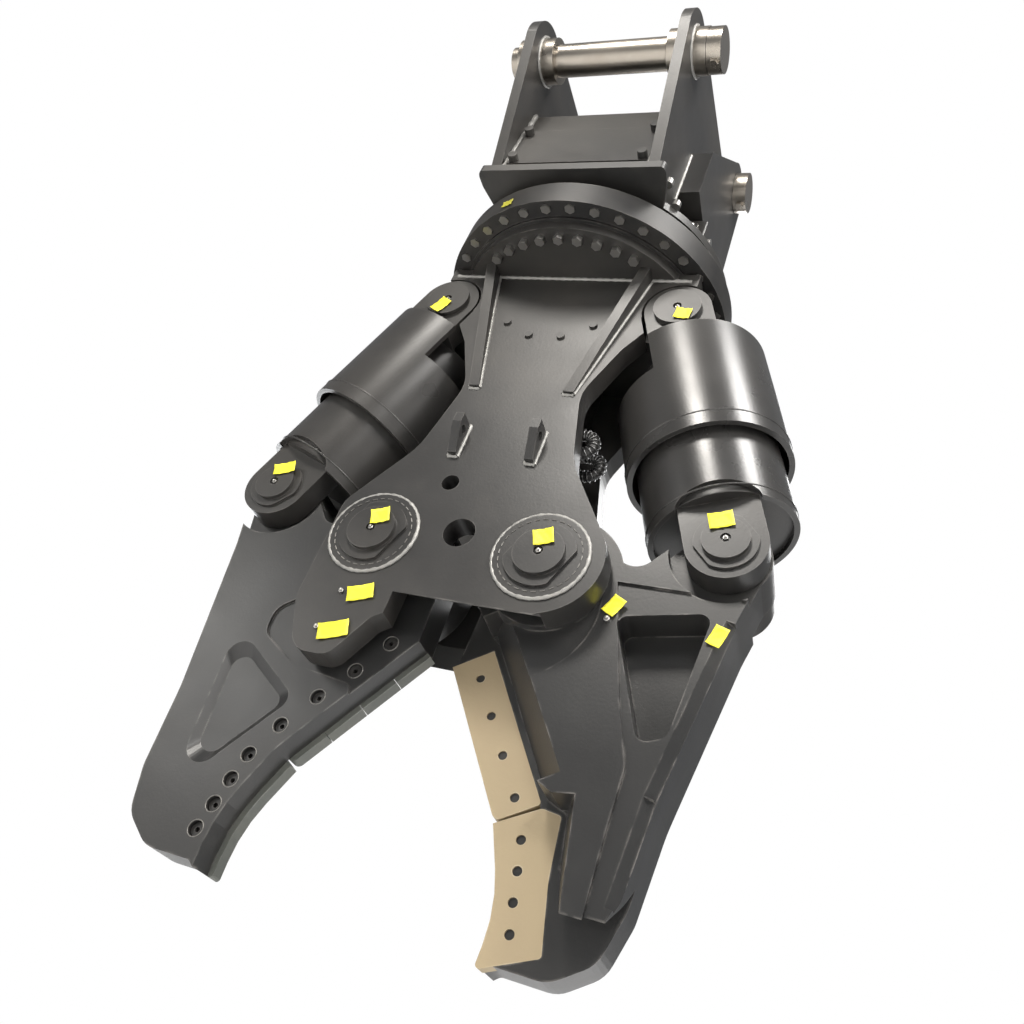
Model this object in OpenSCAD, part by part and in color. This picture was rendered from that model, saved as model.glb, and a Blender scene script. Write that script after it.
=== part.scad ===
// Hydraulic demolition shear for an excavator: a pin-on bracket, a slewing ring, a two-plate frame
// and two jaws, each closed by its own guarded cylinder. The origin is the centre of the stick pin;
// X runs along the pins, the front plate faces -Y and the jaws hang towards -Z.

/* [Main layout] */
// Distance from the stick pin back to the slewing axis, which lies in the mid plane
slew_back = 398; // [392:1:406]
// Height of the stick pin above the bracket's base plate
stick_rise = 407; // [398:1:440]
// Half the distance between the two jaw pins
main_pin_half = 185; // [182:1:192]
// Distance of each upper cylinder pin from the mid line
cyl_pin_half = 289; // [284:1:296]
// Distance of the upper cylinder pins below the top flange
cyl_pin_low = 94; // [90:1:100]

/* [Bracket] */
// Diameter of the stick pin and of the link pin
pin_d = 80; // [70:1:90]
// Clear width between the stick bushes
stick_w = 296; // [280:1:310]
// Distance from the stick pin back to the link pin
link_back = 450; // [430:1:470]
// Height of the link pin above the stick pin
link_up = 60; // [40:1:80]
// Thickness of each ear plate
ear_t = 26; // [20:1:30]
// Radius of the rounded lobe round each pin
lobe_r = 97; // [90:1:104]
// Outer diameter of the stick bushes
stick_bush_d = 112; // [104:1:120]
// Thickness of the base plate
base_t = 22; // [18:1:30]
// Half width of the base plate's front edge
base_half = 233; // [225:1:240]
// Distance of the base plate's front edge from the slewing axis
base_front = 372; // [366:1:380]
// Thickness of the walls and the cover plate
wall_t = 18; // [12:1:24]
// Height of the bolted cover plate
cover_h = 150; // [130:1:160]
// How far the link boss block stands out from each ear
boss_out = 54; // [50:1:64]

/* [Slewing ring] */
// Outer radius of the ring that turns with the bracket
ring_r = 360; // [356:1:366]
// Height of the outer ring
ring_h = 66; // [58:1:70]
// Radius of the running gap between the two rings
race_r = 317; // [315:1:320]
// Radius of the opening in the inner ring
ring_bore_r = 252; // [240:1:256]
// Number of bolts in the outer ring
ring_bolts = 36; // [28:2:40]
// Across-flats size of the ring bolts' heads
bolt_head = 22; // [18:1:26]

/* [Frame] */
// Overall thickness of the frame over its two plates
frame_t = 316; // [310:1:326]
// Thickness of each side plate
plate_t = 56; // [50:1:58]
// Height from the jaw pins to the underside of the top flange
frame_h = 794; // [788:1:800]
// Thickness of the top flange
flange_t = 24; // [20:1:28]
// Radius of the top flange
flange_r = 308; // [300:1:312]
// Half width of the flange over its shoulders
shoulder_half = 316; // [310:1:320]
// Half width of the box spine between the plates
spine_half = 75; // [60:1:90]
// Thickness of the long front ribs
rib_t = 24; // [18:1:28]
// How far each rib stands out at its top
rib_out = 42; // [30:1:50]
// Diameter of the larger hole through each plate
big_hole_d = 68; // [60:1:72]
// Diameter of the smaller hole through each plate
small_hole_d = 39; // [30:1:44]

/* [Jaw pins] */
// Diameter of the two jaw pins
main_pin_d = 110; // [100:1:116]
// Radius of the ring welded round each jaw pin
ring_plate_r = 95; // [88:1:100]
// Thickness of that ring
ring_plate_t = 5; // [4:1:8]
// Wall of the bush in each jaw
bush_wall = 12; // [8:1:14]
// Radial running clearance of pins in their bushes
run_gap = 0.05; // [0.03:0.01:0.09]

/* [Cylinders] */
// Outer radius of the guard tube fixed to the barrel
guard_r = 178; // [172:1:180]
// Wall of both guard tubes
guard_wall = 12; // [8:1:14]
// Radial gap between the two guard tubes
guard_gap = 12.5; // [10:0.5:14]
// Distance from the upper pin to the lower end of the barrel guard
guard_end = 373; // [365:1:385]
// Bore of the cylinder
bore_d = 200; // [180:1:205]
// Wall of the barrel
barrel_wall = 20; // [16:1:22]
// Distance from the upper pin to the lower end of the barrel
barrel_end = 398; // [390:1:410]
// Diameter of the piston rod
rod_d = 140; // [120:1:150]
// Diameter of the pins at both ends of the cylinder
cyl_pin_d = 80; // [70:1:84]
// Radius of the barrel's fork ears
ear_r = 76; // [72:1:77]
// Radius of the rod's fork ears
fork_r = 80; // [74:1:82]
// Distance of the rod guard's lower end from the rod pin, at rest
rod_guard_short = 87; // [84:1:90]

/* [Jaws] */
// Distance from the jaw pin to the rod pin
lever_r = 348; // [344:1:352]
// Angle of that lever above level with the jaws open
lever_a = 19.4; // [18.4:0.1:20.4]
// Length of a jaw below its pin
jaw_len = 690; // [670:5:710]
// Thickness of a jaw
jaw_t = 170; // [160:1:176]
// Radius of the jaw round its pin, between the plates
hub_r = 150; // [144:1:152]
// Thickness of the blades
blade_t = 28; // [24:1:32]
// Width of the upper blade
blade_w = 88; // [80:1:92]
// Gap between the cutting planes of the two jaws
shear_gap = 0.6; // [0.4:0.1:1]
// Thickness of the lug that the rod fork straddles
lug_t = 110; // [100:1:114]
// Radial clearance of the rod pin in the jaw's lug
lug_play = 6.5; // [6.5:0.5:8]
// Depth of the deep pocket in the set-back face
pocket_depth = 106; // [80:1:110]
// Depth of the dish in the cutting face
dish_depth = 14; // [8:1:18]

/* [Hidden] */
$fn = 96;

// Colours
paint = "#3b3a38";
paint_dark = "#2a2a2b";
steel = "#a9a59b";
tan_primer = "#c2a878";
rubber = "#141414";

// One overrun serves all cuts
over = 1;
// Side plates and what lies between them
half_t = frame_t / 2;
gap_half = half_t - plate_t;
side_play = 2;
// Levels above the jaw pins
flange_top = frame_h + flange_t;
ring_lift = 6;
ring_low = flange_top + ring_lift;
ring_top = ring_low + ring_h;
neck_h = 36;
base_low = ring_top + neck_h;
base_top = base_low + base_t;
// The same base level, seen from the stick pin
floor_z = -stick_rise;
pin_drop = base_top + stick_rise;
bush_in = 36;
ear_in = stick_w / 2 + bush_in;
ear_out = ear_in + ear_t;
pin_r = pin_d / 2;
main_r = main_pin_d / 2;
cyl_r = cyl_pin_d / 2;
// Cylinder axis at rest
cyl_pin_rise = frame_h - cyl_pin_low;
rod_pin_x = main_pin_half + lever_r * cos(lever_a);
rod_pin_z = lever_r * sin(lever_a);
axis_run = rod_pin_x - cyl_pin_half;
axis_fall = cyl_pin_rise - rod_pin_z;
cyl_len = norm([axis_run, axis_fall]);
tilt = atan2(axis_run, axis_fall);
rod_guard_r = guard_r - guard_wall - guard_gap;
head_start = 62;
head_end = 92;
relief_end = 172;
lug_half = lug_t / 2;
fork_in = lug_half + side_play * 2;
// The fork just fits inside the rod's guard tube
fork_out = sqrt(pow(rod_guard_r - guard_wall, 2) - pow(fork_r, 2)) - side_play / 2;
fork_throat = 99;
fork_bridge = 30;
jaw_half = jaw_t / 2;
blade_face = shear_gap / 2;
recess_d = 6;

// Arc of a rounded corner at b, from the side of a to the side of c
function corner(a, b, c, r) =
    let (u = (a - b) / norm(a - b), v = (c - b) / norm(c - b), half = acos(u * v) / 2)
    r <= 0 || half > 89.5 ? [b] :
    let (
        o = b + (u + v) / norm(u + v) * r / sin(half),
        s = b + u * r / tan(half) - o,
        e = b + v * r / tan(half) - o,
        from = atan2(s[1], s[0]),
        turn = (atan2(e[1], e[0]) - from + 540) % 360 - 180,
        n = max(2, ceil(abs(turn) / 10))
    )
    [for (i = [0:n]) o + r * [cos(from + turn * i / n), sin(from + turn * i / n)]];

// Outline with rounded corners from points and radii, each a share of one size
function outline(shares, size) =
    let (n = len(shares), p = [for (q = shares) [q[0], q[1]] * size])
    [for (i = [0:n - 1])
        each corner(p[(i + n - 1) % n], p[i], p[(i + 1) % n], shares[i][2] * size)];

// Places a piece drawn round the slewing axis, with Z zero at the jaw pins
module in_place() translate([0, slew_back, -pin_drop]) children();
// The left side is the right side turned half round the slewing axis
module on_side(s) rotate([0, 0, s > 0 ? 0 : 180]) children();
// Stands a plane drawing up in X and Z, from y0 back to y1
module upright(y0, y1) translate([0, y1, 0]) rotate([90, 0, 0]) linear_extrude(y1 - y0) children();
// Stands a plane drawing up in Y and Z, from x0 to x1
module sideways(x0, x1)
    translate([x0, 0, 0]) rotate([90, 0, 90]) linear_extrude(x1 - x0) children();
// Round bar along Y and along X
module bar_y(r, y0, y1) translate([0, y1, 0]) rotate([90, 0, 0]) cylinder(r = r, h = y1 - y0);
module bar_x(r, x0, x1) translate([x0, 0, 0]) rotate([0, 90, 0]) cylinder(r = r, h = x1 - x0);
// Frame of the cylinder: origin at the upper pin, Z down its axis, X away from the frame
module on_cylinder()
    in_place() translate([cyl_pin_half, 0, cyl_pin_rise]) rotate([0, 180 - tilt, 0])
        mirror([1, 0, 0]) children();
// Frame of the rod pin, with the same directions
module on_rod() on_cylinder() translate([0, 0, cyl_len]) children();
// Frame of a jaw: origin at its pin, X outwards
module on_jaw(s) in_place() on_side(s) translate([main_pin_half, 0, 0]) children();
// Hexagon-headed bolt under a surface, head down
module bolt_down(head_h, shank_d, shank_h) {
    mirror([0, 0, 1]) cylinder(d = bolt_head * 1.15, h = head_h, $fn = 6);
    cylinder(d = shank_d, h = shank_h);
}

// Bracket

base_shares = [[-1, -1, 0.05], [1, -1, 0.05], [0.99, -0.88, 0.1], [0.9, -0.66, 0.3], [0.8, 0, 0],
    [-0.8, 0, 0], [-0.9, -0.66, 0.3], [-0.99, -0.88, 0.1]];
module base_outline() {
    circle(r = ring_r - neck_h * 0.6);
    intersection() {
        scale([base_half / base_front, 1]) polygon(outline(base_shares, base_front));
        translate([-base_front, -base_front]) square([base_front * 2, base_front]);
    }
}
neck_lip = 8;
neck_r = race_r + neck_lip;
joint_r = 96;
module base_plate() color(paint) in_place() difference() {
    union() {
        translate([0, 0, base_low]) linear_extrude(base_t) base_outline();
        translate([0, 0, ring_top]) cylinder(r = neck_r, h = neck_h + over);
    }
    translate([0, 0, ring_top - over]) cylinder(r = joint_r, h = neck_h + base_t + over * 2);
    translate([0, 0, ring_top - over]) cylinder(r = ring_bore_r, h = neck_h - base_t / 2);
}

foot_inset = 14;
ear_foot_front = slew_back - base_front + foot_inset;
ear_foot_back = slew_back + ring_r * 0.62;
ear_bend_share = 0.32;
ear_rise = atan2(link_up, link_back);
lobe_front = 192;
lobe_back = -5;
// Points of an arc about a centre, from one angle to another
function arc(centre, r, from, to) =
    let (n = ceil(abs(to - from) / 5))
    [for (i = [0:n]) let (a = from + (to - from) * i / n) centre + r * [cos(a), sin(a)]];
// Side outline of an ear, in Y and Z seen from the stick pin
module ear_outline() polygon(concat(
    [[ear_foot_front, floor_z]],
    arc([0, 0], lobe_r, lobe_front, 90 + ear_rise),
    arc([link_back, link_up], lobe_r, 90 + ear_rise, lobe_back),
    [[ear_foot_back, floor_z + lobe_r * ear_bend_share], [ear_foot_back, floor_z]]
));
module ear(s) difference() {
    sideways(s > 0 ? ear_in : -ear_out, s > 0 ? ear_out : -ear_in) ear_outline();
    bar_x(stick_bush_d / 2, -ear_out - over, ear_out + over);
    translate([0, link_back, link_up]) bar_x(stick_bush_d / 2, -ear_out - over, ear_out + over);
}
module ear_left() color(paint) ear(-1);
module ear_right() color(paint) ear(1);

wall_inset = 20;
wall_low_y = slew_back - base_front + wall_inset;
wall_high = 262;
wall_lean = 20;
// Front wall between the ears, leaning back towards its top
module on_front_wall() translate([0, wall_low_y, floor_z]) rotate([-atan2(wall_lean, wall_high), 0, 0])
    children();
cover_low = 26;
cover_gap = 8;
cover_w = (ear_in - cover_gap) * 2;
cover_bolt_in = 14;
cover_bolt_x = cover_w / 2 - cover_bolt_in;
module cover_places() for (x = [-cover_bolt_x, cover_bolt_x], z = [cover_bolt_in, cover_h - cover_bolt_in])
    translate([x, 0, cover_low + z]) children();
cover_bolt_d = 12;
module front_wall() color(paint) difference() {
    on_front_wall() difference() {
        translate([-ear_in, 0, -wall_t]) cube([ear_in * 2, wall_t, wall_high + wall_t]);
        translate([-cover_w * 0.38, -over, cover_low + cover_h * 0.16])
            cube([cover_w * 0.76, wall_t + over * 2, cover_h * 0.66]);
        cover_places() bar_y(cover_bolt_d / 2, -over, wall_t * 0.8);
    }
    translate([-ear_out, -ear_out, floor_z - ear_out]) cube([ear_out * 2, ear_out * 2, ear_out]);
}
cover_t = 8;
module cover_plate() color(paint) on_front_wall() difference() {
    translate([-cover_w / 2, -cover_t, cover_low]) cube([cover_w, cover_t, cover_h]);
    cover_places() bar_y(cover_bolt_d / 2, -cover_t - over, over);
}
cover_head_h = 9;
module cover_bolts() color(paint_dark) on_front_wall() cover_places() {
    translate([0, -cover_t, 0]) rotate([90, 0, 0]) cylinder(d = cover_bolt_d * 1.7, h = cover_head_h, $fn = 6);
    bar_y(cover_bolt_d / 2, -cover_t, wall_t * 0.8);
}
rear_wall_high = 150;
module rear_wall() color(paint)
    translate([-ear_in, ear_foot_back - wall_t * 2, floor_z]) cube([ear_in * 2, wall_t, rear_wall_high]);

// Bushes through the ears; the pins run in them
module pin_bush(x0, x1) difference() {
    bar_x(stick_bush_d / 2, x0, x1);
    bar_x(pin_r + run_gap, x0 - over, x1 + over);
}
bush_out = 34;
module stick_bushes() color(steel) {
    pin_bush(stick_w / 2, ear_out + bush_out);
    pin_bush(-ear_out - bush_out, -stick_w / 2);
}
boss_end = ear_out + boss_out;
boss_front = 188;
boss_back = link_back + lobe_r * 1.1;
boss_foot = 110;
boss_low = floor_z + boss_foot;
boss_front_h = 159;
// Block on the outside of each ear that carries the link pin's bush
module link_bosses() for (s = [-1, 1]) color(paint) difference() {
    union() {
        sideways(s > 0 ? ear_out : -boss_end, s > 0 ? boss_end : -ear_out) {
            translate([link_back, link_up]) circle(r = lobe_r * 0.84);
            polygon([[boss_front, boss_low], [boss_front, boss_low + boss_front_h],
                [link_back - lobe_r * 0.6, link_up + lobe_r * 0.58], [link_back, link_up],
                [link_back + lobe_r * 0.84, link_up], [boss_back, boss_low]]);
        }
        translate([0, link_back, link_up])
            bar_x(stick_bush_d / 2, s > 0 ? ear_in : -boss_end, s > 0 ? boss_end : -ear_in);
    }
    translate([0, link_back, link_up]) bar_x(pin_r + run_gap, -boss_end - over, boss_end + over);
}
// Pins that draw out to the right, each with its collar and lock bolt
collar_t = 36;
collar_r = 54;
pin_over = 24;
groove_w = 6;
groove_d = 1.5;
stick_end = ear_out + bush_out;
lock_d = 14;
lock_head = 10;
// A seal groove marks each end of the pin's bare length
module drawn_pin(end, bare) difference() {
    bar_x(pin_r, -end - pin_over, end + collar_t);
    for (x = [-bare, bare - groove_w]) difference() {
        bar_x(pin_r * 1.2, x, x + groove_w);
        bar_x(pin_r - groove_d, x - over, x + groove_w + over);
    }
}
module pin_lock(end) {
    difference() {
        bar_x(collar_r, end + side_play / 2, end + collar_t);
        bar_x(pin_r, end, end + collar_t + over);
    }
    translate([end + collar_t * 0.55, 0, -collar_r - lock_head])
        cylinder(d = lock_d * 1.7, h = lock_head, $fn = 6);
}
module stick_pin() color(steel) drawn_pin(stick_end, stick_w / 2);
module stick_pin_lock() color(steel) pin_lock(stick_end);
module link_pin() color(steel) translate([0, link_back, link_up]) drawn_pin(boss_end, ear_in);
module link_pin_lock() color(steel) translate([0, link_back, link_up]) pin_lock(boss_end);

// Slewing ring, with its outer half on the bracket and its inner half on the frame
race_gap = 0.8;
ring_step = 20;
module slew_ring_outer() color(paint_dark) in_place() translate([0, 0, ring_low])
    difference() {
        cylinder(r = ring_r, h = ring_h);
        translate([0, 0, -over]) cylinder(r = race_r, h = ring_h - ring_step + over);
        translate([0, 0, ring_h - ring_step - over]) cylinder(r = ring_bore_r, h = ring_step + over * 2);
        ring_places() translate([0, 0, -over]) cylinder(d = ring_bolt_d, h = ring_h * 0.7);
    }
ring_bolt_d = 20;
ring_bolt_r = (ring_r + race_r) / 2;
module ring_places() for (i = [0:ring_bolts - 1]) rotate([0, 0, 360 * (i + 0.5) / ring_bolts - 90])
    translate([ring_bolt_r, 0, 0]) children();
module outer_ring_bolts() color(steel) in_place() translate([0, 0, ring_low])
    ring_places() bolt_down(ring_lift * 0.6, ring_bolt_d, ring_h * 0.6);
module slew_ring_inner() color(paint_dark) in_place() translate([0, 0, flange_top]) difference() {
    cylinder(r = race_r - race_gap, h = ring_lift + ring_h - ring_step - race_gap);
    translate([0, 0, -over]) cylinder(r = ring_bore_r, h = ring_lift + ring_h);
    inner_places() translate([0, 0, -over]) cylinder(d = ring_bolt_d, h = ring_h * 0.6);
}
inner_bolt_r = (flange_r + ring_bore_r) / 2;
inner_bolt_step = 9.5;
inner_bolt_half = 4;
module inner_places() for (f = [-90, 90], i = [-inner_bolt_half:inner_bolt_half])
    rotate([0, 0, f + i * inner_bolt_step]) translate([inner_bolt_r, 0, 0]) children();
inner_head_h = 13;
module inner_ring_bolts() color(steel) in_place() translate([0, 0, frame_h])
    inner_places() bolt_down(inner_head_h, ring_bolt_d, flange_t + ring_h * 0.5);

motor_r = 62;
motor_h = 150;
motor_front = 210;
module slew_motor() color(paint_dark) in_place() translate([0, -motor_front, base_top]) {
    cylinder(r = motor_r * 1.25, h = motor_h * 0.16);
    cylinder(r = motor_r, h = motor_h);
    translate([-motor_r * 0.7, -motor_r * 0.5, motor_h]) cube([motor_r * 1.4, motor_r, motor_h * 0.25]);
}
joint_rise = 40;
// Rotary oil joint on the slewing axis
module rotary_joint() color(steel) in_place() {
    translate([0, 0, base_top]) cylinder(r = joint_r * 1.2, h = joint_rise);
    translate([0, 0, ring_low]) cylinder(r = joint_r - side_play, h = base_top - ring_low);
}
port_w = 76;
port_d = 92;
port_h = 60;
port_r = 15;
// Valve block beside the right ear
module port_block() color(steel) translate([ear_out + side_play, slew_back - port_d * 0.2, floor_z])
    difference() {
        cube([port_w, port_d, port_h]);
        translate([port_w / 2, -over, port_h * 0.6]) rotate([-90, 0, 0]) cylinder(r = port_r, h = port_d * 0.3);
        for (y = [0.3, 0.7]) translate([port_w * 0.8, port_d * y, port_h * 0.4])
            bar_x(port_r * 0.8, 0, port_w * 0.3);
    }

// Frame

cyl_arc_r = ear_r + side_play * 3;
slot_half = ear_r + side_play * 4;
// Side plate, with a leg on its left that guides the jaw behind it; shares of the jaw pins' distance
foot_shares = [
    [-1.568, 0.378, 0.3], [-1.555, -0.94, 0.5], [-1.3, -1.55, 0.28], [-0.865, -1.55, 0.2],
    [-0.573, -1.04, 0.16], [-0.378, -0.908, 0.16], [0.757, -0.919, 0.38], [1.2, -0.65, 0],
    [1.568, 0.378, 0], [0.968, 1.27, 0.9], [0.746, 2.3, 0.6],
];
// Shoulder of the plate, from the waist up to the flange; heights in shares of the frame's height
shoulder_shares = [[1.05, 0.7106, 0.3], [1.24, 0.7805, 0], [1.708, 0.862, 0], [1.708, 1.002, 0]];
function shoulder(i, s) = let (q = shoulder_shares[i]) [s * q[0], q[1] * frame_h / main_pin_half, q[2]];
plate_points = concat(foot_shares, [for (i = [0:3]) shoulder(i, 1)], [for (i = [0:3]) shoulder(3 - i, -1)],
    [[-0.746, 2.3, 0.6], [-0.968, 1.27, 0.9]]);
plate_pin_r = 127;
bevel_top = 128;
bevel_low = 168;
bevel_left = 84;
module plate_shape() difference() {
    intersection() {
        union() {
            polygon(outline(plate_points, main_pin_half));
            translate([main_pin_half, 0]) circle(r = plate_pin_r);
        }
        translate([-shoulder_half, -frame_h]) square([shoulder_half * 2, frame_h * 2]);
    }
    for (s = [-1, 1]) {
        translate([s * main_pin_half, 0]) circle(r = main_r);
        translate([s * cyl_pin_half, cyl_pin_rise]) circle(r = cyl_arc_r);
        // Room for the fork ear on its way down the cylinder
        translate([s * cyl_pin_half, cyl_pin_rise]) rotate(s * tilt)
            translate([-slot_half, -head_end * 1.1]) square([slot_half * 2, head_end * 1.1]);
    }
    translate([0, bevel_top * 0.22]) circle(d = big_hole_d);
    translate([-spine_half * 0.9, bevel_top * 1.16]) circle(d = small_hole_d);
}
screw_d = 12;
module screw_places() for (p = [[0.58, 0.907], [0.215, 0.851]], s = [-1, 1])
    translate([s * p[0] * main_pin_half, 0, p[1] * cyl_pin_rise]) children();
nipple_shares = [[-1.038, -0.795], [-1.119, -1.259]];
nipple_d = 12;
module side_plate() difference() {
    upright(-half_t, -gap_half) plate_shape();
    // Long bevel along the lower edge
    translate([-bevel_left, -half_t, -bevel_top]) rotate([-90 - atan2(bevel_low - bevel_top, plate_t), 0, 0])
        translate([0, -plate_t, 0]) cube([bevel_left + main_pin_half * 1.2, plate_t * 4, bevel_low]);
    screw_places() bar_y(screw_d / 2, -half_t - over, -half_t + screw_d);
    for (p = nipple_shares) translate([p[0] * main_pin_half, 0, p[1] * main_pin_half])
        bar_y(nipple_d / 2, -half_t - over, -half_t + nipple_d);
}
module front_plate() color(paint) in_place() side_plate();
module back_plate() color(paint) in_place() rotate([0, 0, 180]) side_plate();

module flange_outline() {
    circle(r = flange_r);
    square([shoulder_half * 2, frame_t], center = true);
}
module top_flange() color(paint) in_place() translate([0, 0, frame_h]) difference() {
    linear_extrude(flange_t) flange_outline();
    translate([0, 0, -over]) cylinder(r = joint_r * 1.1, h = flange_t + over * 2);
    inner_places() translate([0, 0, -over]) cylinder(d = ring_bolt_d, h = flange_t + over * 2);
}
spine_low = 190;
spine_wall = 30;
module spine() color(paint_dark) in_place() for (s = [-1, 1])
    translate([s > 0 ? spine_half - spine_wall : -spine_half, -gap_half, spine_low])
        cube([spine_wall, gap_half * 2, frame_h - spine_low]);
lug_r = 70;
// Blocks between the plates that carry the upper cylinder pins
module cylinder_lugs() color(paint) for (s = [-1, 1]) in_place() on_side(s) difference() {
    upright(-gap_half, gap_half) {
        translate([cyl_pin_half, cyl_pin_rise]) circle(r = lug_r);
        polygon([[spine_half, frame_h], [spine_half, cyl_pin_rise - lug_r * 0.5],
            [cyl_pin_half - lug_r * 0.6, cyl_pin_rise - lug_r * 0.8], [cyl_pin_half, cyl_pin_rise],
            [cyl_pin_half + lug_r * 0.3, frame_h]]);
    }
    translate([cyl_pin_half, 0, cyl_pin_rise]) bar_y(cyl_r + run_gap, -gap_half - over, gap_half + over);
}
rib_foot_x = 113;
rib_top_x = 196;
rib_foot_z = 420;
rib_foot_out = 9;
// Tapered ribs from the waist up to the flange, front and back
module ribs() color(paint) in_place() for (t = [0, 180], s = [-1, 1]) rotate([0, 0, t])
    mirror([s < 0 ? 1 : 0, 0, 0]) {
        rise = frame_h - rib_foot_z;
        lean = atan2(rib_top_x - rib_foot_x, rise);
        slope = rise / cos(lean) + rib_t;
        intersection() {
            translate([rib_foot_x, -half_t, rib_foot_z]) rotate([0, lean, 0])
                sideways(-rib_t / 2, rib_t / 2)
                    polygon([[0, -rib_t], [-rib_foot_out, 0], [-rib_out, slope], [0, slope]]);
            translate([0, -frame_t, rib_foot_z]) cube([frame_h, frame_t, rise]);
        }
    }
lift_x = 89;
lift_z = 220;
lift_h = 84;
lift_out = 46;
lift_t = 20;
lift_hole_d = 20;
module lifting_lugs() color(paint) in_place() for (s = [-1, 1]) difference() {
    translate([s * lift_x, -half_t, lift_z]) sideways(-lift_t / 2, lift_t / 2)
        polygon([[0, 0], [-lift_out * 0.3, 0], [-lift_out, lift_h * 0.72], [-lift_out, lift_h], [0, lift_h]]);
    translate([s * lift_x, -half_t - lift_out * 0.5, lift_z + lift_h * 0.68])
        bar_x(lift_hole_d / 2, -lift_t, lift_t);
}
module face_screws() color(paint_dark) in_place() for (t = [0, 180]) rotate([0, 0, t]) screw_places() {
    bar_y(screw_d / 2, -half_t, -half_t + screw_d);
    bar_y(screw_d * 0.8, -half_t - screw_d * 0.5, -half_t);
}
main_pin_out = half_t + ring_plate_t;
module main_places() in_place() for (s = [-1, 1]) translate([s * main_pin_half, 0, 0]) children();
module main_pins() color(steel) main_places() bar_y(main_r, -main_pin_out, main_pin_out);
module pin_base_rings() color(paint) main_places() for (t = [0, 180]) rotate([0, 0, t]) difference() {
    bar_y(ring_plate_r, -main_pin_out, -half_t);
    bar_y(main_r, -main_pin_out - over, -half_t + over);
}
keeper_t = 6;
keeper_r = 73;
keeper_flat = 58;
cap_t = 10;
cap_r = 52;
nipple_pocket_d = 20;
// Keeper plate with two flats and the round cap on it
module keeper_and_cap(r, flat, cap, out) {
    intersection() {
        bar_y(r, -out - keeper_t, -out);
        rotate([0, 24, 0]) translate([-flat, -out - keeper_t, -r]) cube([flat * 2, keeper_t, r * 2]);
    }
    difference() {
        bar_y(cap, -out - keeper_t - cap_t, -out - keeper_t);
        bar_y(nipple_pocket_d / 2, -out - keeper_t - cap_t - over, -out - keeper_t - cap_t * 0.4);
    }
}
module pin_caps() color(paint) main_places() for (t = [0, 180]) rotate([0, 0, t])
    keeper_and_cap(keeper_r, keeper_flat, cap_r, main_pin_out);
module frame_nipples() color(steel) in_place() for (t = [0, 180]) rotate([0, 0, t]) {
    for (p = nipple_shares) translate([p[0] * main_pin_half, 0, p[1] * main_pin_half]) {
        bar_y(nipple_d * 0.3, -half_t - nipple_d * 0.3, -half_t + nipple_d);
        bar_y(nipple_d / 2, -half_t + nipple_d * 0.5, -half_t + nipple_d);
    }
    for (s = [-1, 1]) translate([s * main_pin_half, 0, 0])
        bar_y(nipple_d * 0.3, -main_pin_out - keeper_t - cap_t, -main_pin_out - keeper_t - cap_t * 0.4);
}
pad_r = 40;
pad_share = [-1.1, -1.02];
// Guide pad on each plate's leg, which steadies the jaw behind it
module guide_pads() color("#8c7a4a") in_place() for (t = [0, 180]) rotate([0, 0, t])
    translate([pad_share[0] * main_pin_half, 0, pad_share[1] * main_pin_half])
        bar_y(pad_r, -gap_half, -jaw_half + recess_d - side_play * 0.5);
hose_r = 12;
hose_bend_r = 27;
hose_run = 66;
hose_low = 338;
block_t = 16;
hose_shares = [-0.56, 0.2];
// Hose loops that stand out from the spine, each from one bulkhead block to the next
module hoses() color(rubber) in_place() for (s = [0, 180], q = hose_shares) rotate([0, 0, s])
    translate([spine_half, q * gap_half, hose_low]) {
        for (z = [0, hose_bend_r * 2]) translate([0, 0, z]) {
            bar_x(hose_r, 0, hose_run);
            bar_x(hose_r * 1.5, 0, block_t, $fn = 6);
        }
        translate([hose_run, 0, hose_bend_r]) rotate([90, 0, 0]) rotate([0, 0, -90])
            rotate_extrude(angle = 180) translate([hose_bend_r, 0]) circle(r = hose_r);
    }

// Cylinders

barrel_r = bore_d / 2 + barrel_wall;
barrel_start = head_end - barrel_wall * 0.2;
inner_edge = ear_r;
// What lies nearer the frame than the relief plane, above the relief's end
module relief(end) translate([-guard_r * 2, -guard_r * 2, -guard_r])
    cube([guard_r * 2 - inner_edge, guard_r * 4, guard_r + end]);
module barrel() on_cylinder() difference() {
    union() {
        // Fork ears
        for (s = [-1, 1]) upright_ear(s);
        // Head plate and barrel
        difference() {
            translate([0, 0, head_start]) cylinder(r = guard_r - guard_wall, h = head_end - head_start);
            relief(relief_end);
            translate([-guard_r, -gap_half - side_play, 0])
                cube([guard_r * 2, (gap_half + side_play) * 2, barrel_start]);
        }
        translate([0, 0, barrel_start]) cylinder(r = barrel_r, h = barrel_end - barrel_start);
    }
    translate([0, 0, head_end + barrel_wall]) cylinder(r = bore_d / 2, h = barrel_end);
    bar_y(cyl_r, -half_t - over, half_t + over);
}
ear_reach = head_end * 0.98;
module upright_ear(s) intersection() {
    upright(s > 0 ? gap_half + side_play : -half_t, s > 0 ? half_t : -gap_half - side_play) {
        circle(r = ear_r);
        translate([-ear_r, 0]) square([ear_r * 2, ear_reach]);
    }
    union() {
        translate([-guard_r, -guard_r, -ear_r]) cube([guard_r * 2, guard_r * 2, ear_r + head_start]);
        cylinder(r = guard_r - guard_wall, h = ear_reach);
    }
}
module barrel_left() color(paint) mirror([1, 0, 0]) barrel();
module barrel_right() color(paint) barrel();
guard_start = 60;
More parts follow.
